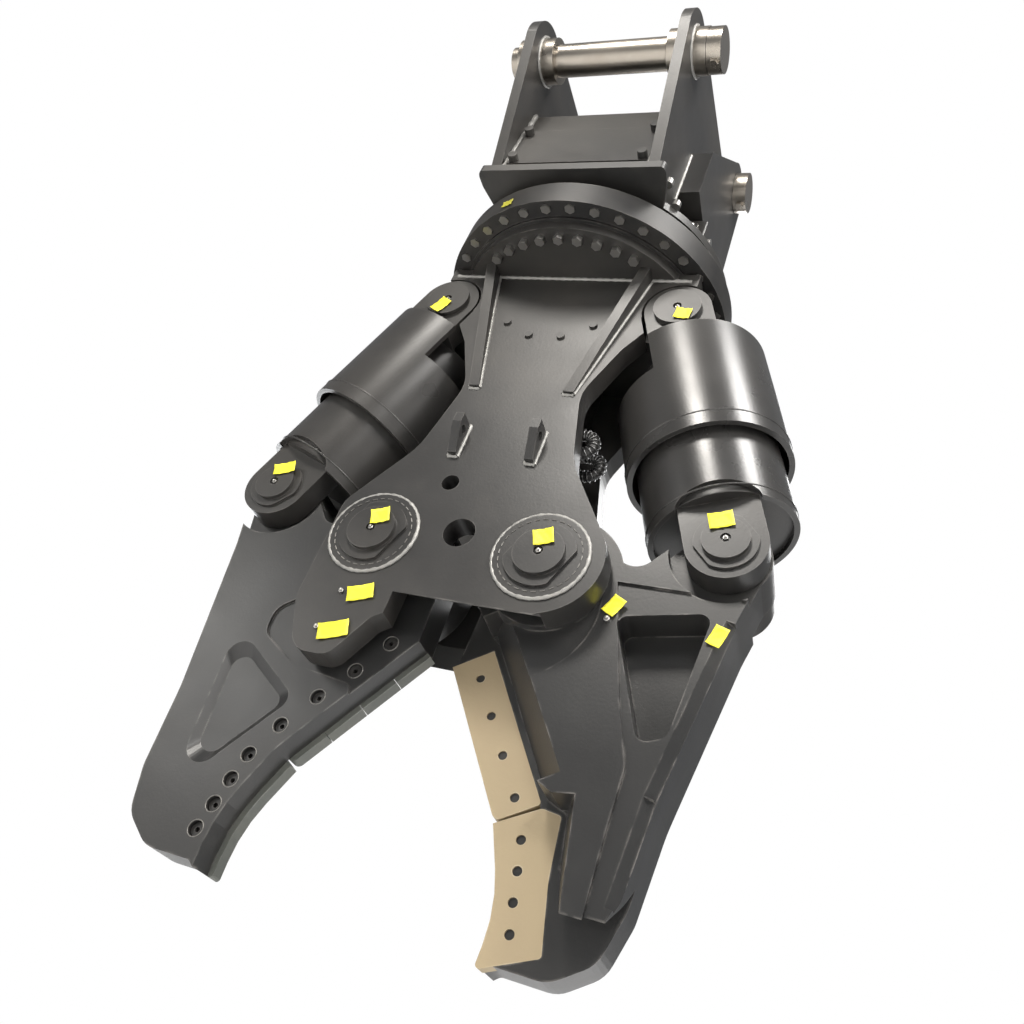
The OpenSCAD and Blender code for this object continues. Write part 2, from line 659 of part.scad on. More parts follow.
module barrel_guard() on_cylinder() difference() {
    union() {
        translate([0, 0, guard_start]) cylinder(r = guard_r - side_play / 2, h = guard_end - guard_start);
        translate([0, 0, guard_end - guard_wall * 3]) cylinder(r = guard_r, h = guard_wall * 3);
    }
    translate([0, 0, guard_start - over]) cylinder(r = guard_r - guard_wall, h = guard_end);
    relief(relief_end);
    // The fork ears stand in the tube's upper edge
    translate([-ear_r, -guard_r, guard_start - over]) cube([ear_r * 2, guard_r * 2, over + side_play]);
}
module barrel_guard_left() color(paint) mirror([1, 0, 0]) barrel_guard();
module barrel_guard_right() color(paint) barrel_guard();
gland_t = 34;
module gland() on_cylinder() difference() {
    union() {
        translate([0, 0, barrel_end]) cylinder(r = barrel_r, h = gland_t * 0.5);
        translate([0, 0, barrel_end - gland_t]) cylinder(r = bore_d / 2, h = gland_t);
    }
    translate([0, 0, barrel_end - gland_t - over]) cylinder(r = rod_d / 2 + run_gap, h = gland_t * 2);
}
module gland_left() color(steel) mirror([1, 0, 0]) gland();
module gland_right() color(steel) gland();
ear_cap_t = 12;
ear_cap_r = 54;
module upper_pin() on_cylinder() difference() {
    union() {
        bar_y(cyl_r, -half_t, half_t);
        for (t = [0, 180]) rotate([0, 0, t]) bar_y(ear_cap_r, -half_t - ear_cap_t, -half_t);
    }
    for (t = [0, 180]) rotate([0, 0, t])
        bar_y(nipple_pocket_d / 2, -half_t - ear_cap_t - over, -half_t - ear_cap_t * 0.3);
}
module upper_pin_left() color(paint) mirror([1, 0, 0]) upper_pin();
module upper_pin_right() color(paint) upper_pin();

piston_h = 60;
piston_rest = 14;
piston_start = head_end + barrel_wall + piston_rest;
bridge_low = cyl_len - fork_throat;
bridge_high = bridge_low - fork_bridge;
module piston_rod() on_cylinder() {
    translate([0, 0, piston_start]) cylinder(r = bore_d / 2 - run_gap, h = piston_h);
    translate([0, 0, piston_start + piston_h])
        cylinder(r = rod_d / 2, h = bridge_high - piston_start - piston_h);
}
module piston_rod_left() color("silver") mirror([1, 0, 0]) piston_rod();
module piston_rod_right() color("silver") piston_rod();
module rod_fork() on_cylinder() difference() {
    union() {
        translate([0, 0, bridge_high]) cylinder(r = rod_guard_r - guard_wall, h = fork_bridge);
        for (s = [-1, 1]) translate([0, 0, cyl_len])
            upright(s > 0 ? fork_in : -fork_out, s > 0 ? fork_out : -fork_in) {
                circle(r = fork_r);
                translate([-fork_r, -fork_throat]) square([fork_r * 2, fork_throat]);
            }
    }
    translate([0, 0, cyl_len]) bar_y(cyl_r, -fork_out - over, fork_out + over);
}
module rod_fork_left() color(paint) mirror([1, 0, 0]) rod_fork();
module rod_fork_right() color(paint) rod_fork();
rod_guard_top = relief_end + side_play * 2;
arch_r = fork_r + side_play * 2;
module rod_guard() on_cylinder() difference() {
    translate([0, 0, rod_guard_top]) cylinder(r = rod_guard_r, h = cyl_len - rod_guard_short - rod_guard_top);
    translate([0, 0, rod_guard_top - over]) cylinder(r = rod_guard_r - guard_wall, h = cyl_len);
    // Arches that clear the fork's ears
    translate([0, 0, cyl_len - rod_guard_short]) scale([1, 1, 0.42]) bar_y(arch_r, -guard_r, guard_r);
}
module rod_guard_left() color(paint) mirror([1, 0, 0]) rod_guard();
module rod_guard_right() color(paint) rod_guard();
rod_keeper_r = 62;
rod_keeper_flat = 56;
rod_cap_r = 46;
module rod_pin() on_rod() {
    bar_y(cyl_r, -fork_out, fork_out);
    for (t = [0, 180]) rotate([0, 0, t]) keeper_and_cap(rod_keeper_r, rod_keeper_flat, rod_cap_r, fork_out);
}
module rod_pin_left() color(paint) mirror([1, 0, 0]) rod_pin();
module rod_pin_right() color(paint) rod_pin();

// Jaws, drawn for the right one: the cutting half lies behind the mid plane

// Cutting edge of a jaw, from the throat to the tip
edge_shares = [[-0.239, -0.275, 0], [0.036, -0.67, 0.17], [0.116, -0.87, 0.4], [0.11, -1.02, 0]];
inset_share = 0.014;
// Outer side, from the tip up to the lug
tip_shares = [[0.14, -1.0, 0.02]];
outer_shares = [[0.29, -1.0, 0.09], [0.39, -0.93, 0.09], [0.428, -0.8, 0.12],
    [0.45, -0.56, 0.6], [0.54, -0.05, 0.3]];
lug_round = 84;
lug_x = lever_r * cos(lever_a);
lug_z = lever_r * sin(lever_a);
function jaw_points(inner) = outline(concat(inner, outer_shares, [
    [(lug_x + lug_round * 0.97) / jaw_len, lug_z / jaw_len, 0], [lug_x / jaw_len, lug_z / jaw_len, 0],
    [(lug_x - lug_round * 0.75) / jaw_len, (lug_z + lug_round * 0.55) / jaw_len, 0],
    [0.24, 0.055, 0.06], [hub_r * 0.9 / jaw_len, hub_r * 0.4 / jaw_len, 0], [0, 0, 0],
    [-hub_r * 0.99 / jaw_len, -hub_r * 0.1 / jaw_len, 0]]), jaw_len);
cut_shares = concat([for (q = edge_shares) [q[0] + inset_share, q[1] + inset_share * 0.5, q[2]]], tip_shares);
back_shares = [[-0.12, -0.18, 0], [0.155, -0.583, 0.02], [0.222, -0.612, 0.02], [0.24, -0.76, 0.3],
    [0.278, -0.955, 0]];
module jaw_outline(inner) {
    polygon(jaw_points(inner));
    circle(r = hub_r);
    translate([lug_x, lug_z]) circle(r = lug_round);
}
blade_hole_d = 18;
// Bolt places along the blades, from the throat to the tip
bolt_shares = [[-0.143, -0.292], [-0.072, -0.395], [-0.001, -0.497], [0.07, -0.6],
    [0.122, -0.7], [0.138, -0.776], [0.152, -0.85], [0.168, -0.922]];
module bolt_places() for (q = bolt_shares) translate([q[0] * jaw_len, 0, q[1] * jaw_len]) children();
counterbore_d = 30;
counterbore_h = 20;
// Straight cut along an edge from p to q, run wide at the face and nothing at the depth
module edge_wedge(p, q, run, depth) {
    d = q - p;
    translate([p[0], -jaw_half, p[1]]) rotate([0, -atan2(d[1], d[0]), 0])
        rotate([90, 0, 90]) linear_extrude(norm(d))
            polygon([[-over, -run], [-over, run * (1 + over / depth)], [depth, 0], [depth, -run]]);
}
dish_shares = [[0.37, -0.33, 0.05], [0.07, -0.515, 0.04], [0.31, -0.85, 0.055]];
dish_mid_share = [0.25, -0.565];
dish_floor_share = 0.78;
dish_points = outline(dish_shares, jaw_len);
pocket_shares = [[0.222, -0.085, 0.028], [0.48, -0.03, 0.028], [0.44, -0.4, 0.032], [0.37, -0.43, 0.032]];
step_shares = [[0.2, 0.02, 0], [0.3, -0.33, 0.1], [0.362, -0.5, 0.08], [0.358, -0.66, 0.3],
    [0.36, -1.1, 0], [0.8, -1.1, 0], [0.8, 0.02, 0]];
recess_shares = [[-0.3, 0.25, 0], [0.16, 0.25, 0.05], [0.17, -0.17, 0.1], [0.275, -0.25, 0.06],
    [0.27, -0.335, 0.05], [0.13, -0.415, 0.05], [-0.08, -0.44, 0.03], [-0.1, -0.53, 0], [-0.3, -0.5, 0]];
crescent_place_share = [-0.08, -0.088];
crescent_share = 0.255;
lug_recess_r = 112;
chamfer = 24;
tip_low = 600;
tip_fall = 84;
edge_line_shares = [[0.54, -0.05], [0.447, -0.56], [0.425, -0.83]];
module jaw() difference() {
    union() {
        upright(blade_face, jaw_half) jaw_outline(cut_shares);
        difference() {
            upright(-jaw_half, blade_face) jaw_outline(back_shares);
            // Slanted wall beside the blades and sloping foot above the tip
            edge_wedge([-0.14, -0.151] * jaw_len, [0.155, -0.583] * jaw_len, blade_w * 0.5, jaw_t * 0.49);
            edge_wedge([0.22, -0.6] * jaw_len, [0.285, -1.0] * jaw_len, blade_t, jaw_t * 0.49);
            translate([0, -jaw_half, -tip_low]) rotate([-atan2(tip_fall, jaw_half) - 90, 0, 0])
                translate([0, -jaw_len, 0]) cube([jaw_len, jaw_len * 2, jaw_t]);
            // Chamfer along the outer edge
            for (i = [0:len(edge_line_shares) - 2])
                edge_wedge(edge_line_shares[i + 1] * jaw_len, edge_line_shares[i] * jaw_len, chamfer, chamfer);
            // Lowered field and deep pocket
            upright(-jaw_half - over, -jaw_half + recess_d) polygon(outline(step_shares, jaw_len));
            upright(-jaw_half - over, -jaw_half + pocket_depth) polygon(outline(pocket_shares, jaw_len));
            upright(-jaw_half - over, -jaw_half + recess_d / 2)
                translate(crescent_place_share * jaw_len) circle(r = crescent_share * jaw_len);
        }
        bar_y(hub_r * 0.8, -gap_half + side_play, gap_half - side_play);
    }
    // Seat of the blades
    upright(-shear_gap, blade_face + blade_t) jaw_seat();
    // Pin bore, lug and its two recesses
    bar_y(main_r + bush_wall, -half_t, half_t);
    translate([lug_x, 0, lug_z]) {
        bar_y(cyl_r + lug_play, -half_t, half_t);
        bar_y(lug_recess_r, -jaw_half - over, -lug_half);
        bar_y(lug_recess_r, lug_half, jaw_half + over);
    }
    // Machined recess, dish and counterbores of the cutting face
    upright(jaw_half - recess_d, jaw_half + over) polygon(outline(recess_shares, jaw_len));
    hull() {
        upright(jaw_half, jaw_half + over) polygon(dish_points);
        upright(jaw_half - dish_depth, jaw_half) translate(dish_mid_share * jaw_len) scale(dish_floor_share)
            translate(-dish_mid_share * jaw_len) polygon(dish_points);
    }
    bolt_places() {
        bar_y(blade_hole_d / 2, 0, jaw_half + over);
        bar_y(counterbore_d / 2, jaw_half - counterbore_h, jaw_half + over);
    }
}
module jaw_left() color(paint) on_jaw(-1) jaw();
module jaw_right() color(paint) on_jaw(1) jaw();

// Outlines of the two blades, in shares of the jaw's length
upper_shares = [[-0.239, -0.275, 0], [0.036, -0.672, 0.02], [0.145, -0.6, 0.01], [-0.133, -0.2, 0]];
lower_shares = [[0.036, -0.678, 0], [0.116, -0.87, 0.4], [0.108, -1.02, 0.01], [0.26, -0.952, 0.01],
    [0.222, -0.78, 0.3], [0.206, -0.617, 0.01], [0.15, -0.61, 0.02]];
module upper_outline() polygon(outline(upper_shares, jaw_len));
module lower_outline() polygon(outline(lower_shares, jaw_len));
module jaw_seat() {
    upper_outline();
    lower_outline();
    polygon([[0.03, -0.66], [0.04, -0.69], [0.15, -0.63], [0.14, -0.59]] * jaw_len);
}
segments = [1, 4];
segment_gap = 1.2;
module blade_holes() bolt_places() bar_y(blade_hole_d / 2, -jaw_half, jaw_half);
module upper_blade(n) difference() {
    upright(blade_face, blade_face + blade_t) upper_outline();
    blade_holes();
    // Joints between the segments
    if (n > 1) for (i = [1:n - 1]) let (
        a = [upper_shares[0][0], upper_shares[0][1]] * jaw_len,
        b = [upper_shares[1][0], upper_shares[1][1]] * jaw_len,
        p = a + (b - a) * i / n)
        translate([p[0], 0, p[1]]) rotate([0, -atan2(b[1] - a[1], b[0] - a[0]), 0])
            translate([-segment_gap / 2, -over, -blade_w]) cube([segment_gap, blade_t + over * 2, blade_w * 3]);
}
module lower_blade() difference() {
    upright(blade_face, blade_face + blade_t) lower_outline();
    blade_holes();
}
module upper_blade_left() color(paint) on_jaw(-1) upper_blade(segments[1]);
module upper_blade_right() color(tan_primer) on_jaw(1) upper_blade(segments[0]);
module lower_blade_left() color(paint) on_jaw(-1) lower_blade();
module lower_blade_right() color(tan_primer) on_jaw(1) lower_blade();
nut_sink = 4;
// Blade bolts: a round socket in the blade's face and a head in the counterbore
module blade_bolts() bolt_places() difference() {
    union() {
        bar_y(blade_hole_d / 2, blade_face + nut_sink, jaw_half - counterbore_h);
        bar_y(counterbore_d * 0.44, jaw_half - counterbore_h, jaw_half - recess_d * 1.4);
    }
    bar_y(blade_hole_d * 0.3, jaw_half - counterbore_h, jaw_half, $fn = 6);
}
module blade_bolts_left() color(paint_dark) on_jaw(-1) blade_bolts();
module blade_bolts_right() color(steel) on_jaw(1) blade_bolts();
module jaw_bush() difference() {
    bar_y(main_r + bush_wall, -gap_half + side_play, gap_half - side_play);
    bar_y(main_r + run_gap, -gap_half, gap_half);
}
module jaw_bush_left() color(steel) on_jaw(-1) jaw_bush();
module jaw_bush_right() color(steel) on_jaw(1) jaw_bush();

base_plate();
ear_left();
ear_right();
front_wall();
rear_wall();
cover_plate();
cover_bolts();
stick_bushes();
link_bosses();
slew_ring_outer();
outer_ring_bolts();
slew_motor();
rotary_joint();
port_block();
stick_pin();
stick_pin_lock();
link_pin();
link_pin_lock();
slew_ring_inner();
inner_ring_bolts();
top_flange();
front_plate();
back_plate();
spine();
cylinder_lugs();
ribs();
lifting_lugs();
face_screws();
main_pins();
pin_base_rings();
pin_caps();
frame_nipples();
guide_pads();
hoses();
barrel_left();
barrel_guard_left();
gland_left();
upper_pin_left();
barrel_right();
barrel_guard_right();
gland_right();
upper_pin_right();
piston_rod_left();
rod_fork_left();
rod_guard_left();
rod_pin_left();
piston_rod_right();
rod_fork_right();
rod_guard_right();
rod_pin_right();
jaw_left();
upper_blade_left();
lower_blade_left();
blade_bolts_left();
jaw_bush_left();
jaw_right();
upper_blade_right();
lower_blade_right();
blade_bolts_right();
jaw_bush_right();
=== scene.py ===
"""Looks of the hydraulic demolition shear.

Finishes for the nodes of the frame, and weld beads, grease points, tags, hose wires and small trim.
"""

from math import atan2, cos, pi, sin

import bpy
from mathutils import Matrix, Vector


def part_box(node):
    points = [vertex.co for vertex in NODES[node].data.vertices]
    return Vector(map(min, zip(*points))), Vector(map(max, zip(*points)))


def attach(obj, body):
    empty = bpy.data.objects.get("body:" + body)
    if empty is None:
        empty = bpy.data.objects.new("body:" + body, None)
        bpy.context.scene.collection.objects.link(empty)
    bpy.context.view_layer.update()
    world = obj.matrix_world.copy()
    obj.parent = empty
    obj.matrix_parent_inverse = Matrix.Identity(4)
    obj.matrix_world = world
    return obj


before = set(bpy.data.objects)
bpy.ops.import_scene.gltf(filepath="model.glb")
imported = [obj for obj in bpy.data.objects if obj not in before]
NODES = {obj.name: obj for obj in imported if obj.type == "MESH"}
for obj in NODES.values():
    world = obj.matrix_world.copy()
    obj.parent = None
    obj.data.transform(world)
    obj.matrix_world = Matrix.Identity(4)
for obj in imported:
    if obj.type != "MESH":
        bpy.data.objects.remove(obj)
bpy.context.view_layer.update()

# Layout, in metres, read from the frame at rest


def middle_of(node):
    """The middle of a node's box."""
    low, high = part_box(node)
    return (Vector(low) + Vector(high)) / 2


SIDES = (-1, 1)
SLEW_BACK = middle_of("slew_ring_outer").y
PIN_DROP = -middle_of("main_pins").z


def from_frame(x, y, z):
    """A point given from the middle of the two jaw pins, in the part's own frame."""
    return Vector((x, y + SLEW_BACK, z - PIN_DROP))


def to_frame(point):
    """The way back: a point of the part's own frame, given from the middle of the two jaw pins."""
    return Vector((point.x, point.y - SLEW_BACK, point.z + PIN_DROP))


def half_depth(node):
    """How far a node reaches to the front from the middle of the frame."""
    return SLEW_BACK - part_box(node)[0][1]


FACE = half_depth("front_plate")
CAP_OUT = half_depth("pin_caps")
UPPER_OUT = half_depth("upper_pin_left")
ROD_OUT = half_depth("rod_pin_left")
JAW_PIN = middle_of("jaw_bush_right").x
CYL_PIN = to_frame(middle_of("upper_pin_right"))
ROD_PIN = to_frame(middle_of("rod_pin_right"))
FLANGE_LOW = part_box("top_flange")[0][2] + PIN_DROP
FLOOR_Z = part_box("base_plate")[1][2]
EAR_IN, EAR_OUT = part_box("ear_right")[0][0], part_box("ear_right")[1][0]
SPINE_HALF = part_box("spine")[1][0]
GAP_HALF = SLEW_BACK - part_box("front_plate")[1][1]

# Half the thickness of a jaw, of its arm and of the step behind its upper blade, as in the part's
# source
JAW_HALF, ARM_HALF, STEP_HALF = 0.085, 0.0795, 0.079

# Finishes


def new_group(name, inputs, outputs):
    """An empty shader node group with named sockets, each (name, kind, default)."""
    group = bpy.data.node_groups.new(name, "ShaderNodeTree")
    for label, kind, value in inputs:
        socket = group.interface.new_socket(name=label, in_out="INPUT", socket_type=kind)
        socket.default_value = value
    for label, kind in outputs:
        group.interface.new_socket(name=label, in_out="OUTPUT", socket_type=kind)
    group.nodes.new("NodeGroupInput").name = "in"
    group.nodes.new("NodeGroupOutput").name = "out"
    return group


def add(tree, kind, **settings):
    """A new node with its settings; in_0, in_1 and so on are its plain inputs."""
    node = tree.nodes.new(kind)
    for key, value in settings.items():
        if key.startswith("in_"):
            node.inputs[int(key[3:])].default_value = value
        else:
            setattr(node, key, value)
    return node


def join(tree, a, b):
    tree.links.new(a, b)


# Where the noise turns from clean to dusty, and from whole to worn paint
DUST_FROM, DUST_FULL = 0.44, 0.78
WORN_FROM, WORN_FULL = 0.42, 0.62
# How nearly the bevelled normal agrees with the plain one on a flat face and on a sharp edge
FLAT_COSINE, EDGE_COSINE = 0.995, 0.86
WEAR_SCALE, BROAD_SCALE = 26.0, 7.0
DUST_ROUGHENS, BUMP_HEIGHT = 0.25, 0.0012


def dust_group():
    """Dust and grime: a mottled mask and the colour with it on."""
    g = new_group(
        "dust_and_grime",
        [
            ("Color", "NodeSocketColor", (0.05, 0.05, 0.05, 1)),
            ("Dust Color", "NodeSocketColor", (0.2, 0.18, 0.15, 1)),
            ("Scale", "NodeSocketFloat", 3.0),
            ("Amount", "NodeSocketFloat", 0.3),
        ],
        [("Color", "NodeSocketColor"), ("Mask", "NodeSocketFloat")],
    )
    i, o = g.nodes["in"], g.nodes["out"]
    place = add(g, "ShaderNodeTexCoord")
    cloud = add(g, "ShaderNodeTexNoise")
    cloud.inputs["Detail"].default_value = 6.0
    cloud.inputs["Roughness"].default_value = 0.62
    join(g, place.outputs["Object"], cloud.inputs["Vector"])
    join(g, i.outputs["Scale"], cloud.inputs["Scale"])
    ramp = add(g, "ShaderNodeMapRange", in_1=DUST_FROM, in_2=DUST_FULL)
    join(g, cloud.outputs["Fac"], ramp.inputs[0])
    times = add(g, "ShaderNodeMath", operation="MULTIPLY")
    join(g, ramp.outputs[0], times.inputs[0])
    join(g, i.outputs["Amount"], times.inputs[1])
    mix = add(g, "ShaderNodeMix", data_type="RGBA")
    join(g, times.outputs[0], mix.inputs["Factor"])
    join(g, i.outputs["Color"], mix.inputs["A"])
    join(g, i.outputs["Dust Color"], mix.inputs["B"])
    join(g, mix.outputs["Result"], o.inputs["Color"])
    join(g, times.outputs[0], o.inputs["Mask"])
    return g


def wear_group():
    """Worn edges: lighter where the surface turns sharply, broken up by fine noise."""
    g = new_group(
        "edge_wear",
        [
            ("Color", "NodeSocketColor", (0.05, 0.05, 0.05, 1)),
            ("Worn Color", "NodeSocketColor", (0.2, 0.19, 0.18, 1)),
            ("Width", "NodeSocketFloat", 0.004),
            ("Amount", "NodeSocketFloat", 0.5),
        ],
        [("Color", "NodeSocketColor")],
    )
    i, o = g.nodes["in"], g.nodes["out"]
    plain = add(g, "ShaderNodeNewGeometry")
    bevel = add(g, "ShaderNodeBevel", samples=4)
    join(g, i.outputs["Width"], bevel.inputs["Radius"])
    dot = add(g, "ShaderNodeVectorMath", operation="DOT_PRODUCT")
    join(g, plain.outputs["Normal"], dot.inputs[0])
    join(g, bevel.outputs["Normal"], dot.inputs[1])
    edge = add(g, "ShaderNodeMapRange", in_1=FLAT_COSINE, in_2=EDGE_COSINE)
    join(g, dot.outputs["Value"], edge.inputs[0])
    place = add(g, "ShaderNodeTexCoord")
    grain = add(g, "ShaderNodeTexNoise", in_2=WEAR_SCALE)
    grain.inputs["Detail"].default_value = 5.0
    join(g, place.outputs["Object"], grain.inputs["Vector"])
    broken = add(g, "ShaderNodeMapRange", in_1=WORN_FROM, in_2=WORN_FULL)
    join(g, grain.outputs["Fac"], broken.inputs[0])
    both = add(g, "ShaderNodeMath", operation="MULTIPLY")
    join(g, edge.outputs[0], both.inputs[0])
    join(g, broken.outputs[0], both.inputs[1])
    times = add(g, "ShaderNodeMath", operation="MULTIPLY")
    join(g, both.outputs[0], times.inputs[0])
    join(g, i.outputs["Amount"], times.inputs[1])
    mix = add(g, "ShaderNodeMix", data_type="RGBA")
    join(g, times.outputs[0], mix.inputs["Factor"])
    join(g, i.outputs["Color"], mix.inputs["A"])
    join(g, i.outputs["Worn Color"], mix.inputs["B"])
    join(g, mix.outputs["Result"], o.inputs["Color"])
    return g


def grain_group():
    """Fine unevenness of a sprayed or rolled surface, as a height and a roughness."""
    g = new_group(
        "surface_grain",
        [
            ("Scale", "NodeSocketFloat", 180.0),
            ("Base Roughness", "NodeSocketFloat", 0.4),
            ("Spread", "NodeSocketFloat", 0.12),
        ],
        [("Height", "NodeSocketFloat"), ("Roughness", "NodeSocketFloat")],
    )
    i, o = g.nodes["in"], g.nodes["out"]
    place = add(g, "ShaderNodeTexCoord")
    fine = add(g, "ShaderNodeTexNoise")
    fine.inputs["Detail"].default_value = 3.0
    join(g, place.outputs["Object"], fine.inputs["Vector"])
    join(g, i.outputs["Scale"], fine.inputs["Scale"])
    broad = add(g, "ShaderNodeTexNoise", in_2=BROAD_SCALE)
    broad.inputs["Detail"].default_value = 4.0
    join(g, place.outputs["Object"], broad.inputs["Vector"])
    shift = add(g, "ShaderNodeMath", operation="SUBTRACT", in_1=0.5)
    join(g, broad.outputs["Fac"], shift.inputs[0])
    spread = add(g, "ShaderNodeMath", operation="MULTIPLY_ADD")
    join(g, shift.outputs[0], spread.inputs[0])
    join(g, i.outputs["Spread"], spread.inputs[1])
    join(g, i.outputs["Base Roughness"], spread.inputs[2])
    join(g, fine.outputs["Fac"], o.inputs["Height"])
    join(g, spread.outputs[0], o.inputs["Roughness"])
    return g


def brush_group():
    """Turning or grinding marks that run round or along a piece, as a height."""
    g = new_group(
        "tool_marks",
        [("Stretch", "NodeSocketVector", (900.0, 12.0, 12.0))],
        [("Height", "NodeSocketFloat")],
    )
    i, o = g.nodes["in"], g.nodes["out"]
    place = add(g, "ShaderNodeTexCoord")
    scaled = add(g, "ShaderNodeVectorMath", operation="MULTIPLY")
    join(g, place.outputs["Object"], scaled.inputs[0])
    join(g, i.outputs["Stretch"], scaled.inputs[1])
    marks = add(g, "ShaderNodeTexNoise", in_2=1.0)
    marks.inputs["Detail"].default_value = 2.0
    join(g, scaled.outputs["Vector"], marks.inputs["Vector"])
    join(g, marks.outputs["Fac"], o.inputs["Height"])
    return g


DUST = dust_group()
WEAR = wear_group()
GRAIN = grain_group()
MARKS = brush_group()


def finish(
    name, colour, rough=0.42, metal=0.0, dust=0.3, dust_colour=(0.16, 0.145, 0.125),
    dust_scale=2.6, worn=(0.17, 0.16, 0.15), wear=0.5, wear_width=0.004, grain=190.0, bump=0.12,
    spread=0.18, marks=None,
):
    """One finish: base colour, then worn edges, then dust, with grain or tool marks in the bump."""
    mat = bpy.data.materials.new(name)
    mat.use_nodes = True
    t = mat.node_tree
    shader = t.nodes["Principled BSDF"]
    shader.inputs["Metallic"].default_value = metal
    edge = add(t, "ShaderNodeGroup", node_tree=WEAR)
    edge.inputs["Color"].default_value = (*colour, 1)
    edge.inputs["Worn Color"].default_value = (*worn, 1)
    edge.inputs["Width"].default_value = wear_width
    edge.inputs["Amount"].default_value = wear
    dirt = add(t, "ShaderNodeGroup", node_tree=DUST)
    dirt.inputs["Dust Color"].default_value = (*dust_colour, 1)
    dirt.inputs["Scale"].default_value = dust_scale
    dirt.inputs["Amount"].default_value = dust
    join(t, edge.outputs["Color"], dirt.inputs["Color"])
    join(t, dirt.outputs["Color"], shader.inputs["Base Color"])
    fine = add(t, "ShaderNodeGroup", node_tree=GRAIN)
    fine.inputs["Scale"].default_value = grain
    fine.inputs["Base Roughness"].default_value = rough
    fine.inputs["Spread"].default_value = spread
    duller = add(t, "ShaderNodeMath", operation="MULTIPLY_ADD", in_1=DUST_ROUGHENS)
    join(t, dirt.outputs["Mask"], duller.inputs[0])
    join(t, fine.outputs["Roughness"], duller.inputs[2])
    join(t, duller.outputs[0], shader.inputs["Roughness"])
    relief = add(t, "ShaderNodeBump")
    relief.inputs["Strength"].default_value = bump
    relief.inputs["Distance"].default_value = BUMP_HEIGHT
    if marks:
        lines = add(t, "ShaderNodeGroup", node_tree=MARKS)
        lines.inputs["Stretch"].default_value = marks
        join(t, lines.outputs["Height"], relief.inputs["Height"])
    else:
        join(t, fine.outputs["Height"], relief.inputs["Height"])
    join(t, relief.outputs["Normal"], shader.inputs["Normal"])
    return mat


BODY_PAINT = finish(
    "body_paint", (0.019, 0.0185, 0.018), rough=0.36, dust=0.26, dust_colour=(0.085, 0.075, 0.062),
    wear=0.45,
)
JAW_PAINT = finish(
    "jaw_paint", (0.019, 0.019, 0.019), rough=0.34, dust=0.24, dust_colour=(0.08, 0.075, 0.066),
    dust_scale=1.9, wear=0.85, wear_width=0.006,
)
GUARD_PAINT = finish(
    "guard_paint", (0.024, 0.0235, 0.023), rough=0.28, dust=0.26, dust_colour=(0.085, 0.077, 0.068),
    dust_scale=1.6, wear=0.4,
)
# Black paint for the parts that are black, and painted shade on the base plate, whose front edge and
# underside lie in shadow
BLACK_PAINT_AND_SHADE = finish("black_paint_and_shade", (0.011, 0.011, 0.011), rough=0.42, dust=0.2, wear=0.35)
# Dark phosphated ring steel, made nearly black partly for its own finish and partly as painted shade
# under the top flange
RING_STEEL_AND_SHADE = finish(
    "ring_phosphate_and_shade", (0.008, 0.008, 0.0085), rough=0.48, metal=0.2, dust=0.2, wear=0.6,
)
BRIGHT = finish(
    "turned_steel", (0.36, 0.33, 0.29), rough=0.28, metal=1.0, dust=0.35,
    dust_colour=(0.2, 0.16, 0.12), dust_scale=9.0, worn=(0.8, 0.78, 0.74), wear=0.3,
    marks=(700.0, 25.0, 25.0), bump=0.1,
)
BOLT_STEEL = finish(
    "bolt_steel", (0.46, 0.45, 0.43), rough=0.3, metal=1.0, dust=0.4,
    dust_colour=(0.1, 0.085, 0.07), worn=(0.6, 0.58, 0.55), wear=0.7, wear_width=0.0015,
)
CHROME = finish("hard_chrome", (0.7, 0.7, 0.7), rough=0.1, metal=1.0, dust=0.1, wear=0.1)
# Brown primer with dust, darkened overall partly as painted shade for the frame's shadow over the
# upper blade's top
BLADE_PRIMER_AND_SHADE = finish(
    "blade_primer_and_shade", (0.33, 0.262, 0.16), rough=0.55, dust=0.55, dust_colour=(0.32, 0.25, 0.16),
    dust_scale=7.0, worn=(0.62, 0.55, 0.42), wear=0.6, bump=0.3, grain=120.0, spread=0.2,
)
BLADE_DARK = finish(
    "blade_grey", (0.10, 0.105, 0.095), rough=0.45, metal=0.3, dust=0.5,
    dust_colour=(0.2, 0.2, 0.17), dust_scale=6.0, worn=(0.3, 0.3, 0.28), wear=0.7,
)
HOSE = finish(
    "hose_rubber", (0.018, 0.018, 0.019), rough=0.38, dust=0.3, wear=0.0, bump=0.25, grain=90.0,
)
HOSE_WIRE = finish("hose_wire", (0.22, 0.22, 0.22), rough=0.22, metal=0.7, dust=0.3, wear=0.0)
RIM = finish(
    "ground_rim", (0.17, 0.165, 0.155), rough=0.35, metal=0.6, dust=0.4, dust_scale=40.0, wear=0.0,
)
BRONZE = finish("pad_bronze", (0.3, 0.2, 0.09), rough=0.4, metal=0.9, dust=0.4, wear=0.3)
WELD = finish(
    "weld_bead", (0.30, 0.295, 0.28), rough=0.42, metal=0.45, dust=0.5,
    dust_colour=(0.12, 0.115, 0.11), dust_scale=30.0, wear=0.2, bump=0.5, grain=260.0, spread=0.3,
)
TAG = finish(
    "tag_yellow", (0.86, 0.80, 0.03), rough=0.5, dust=0.35, dust_colour=(0.62, 0.55, 0.02),
    dust_scale=45.0, worn=(0.9, 0.86, 0.2), wear=0.2, bump=0.15,
)
TAG_DULL = finish("tag_olive", (0.34, 0.32, 0.02), rough=0.55, dust=0.4, dust_scale=50.0, wear=0.1)

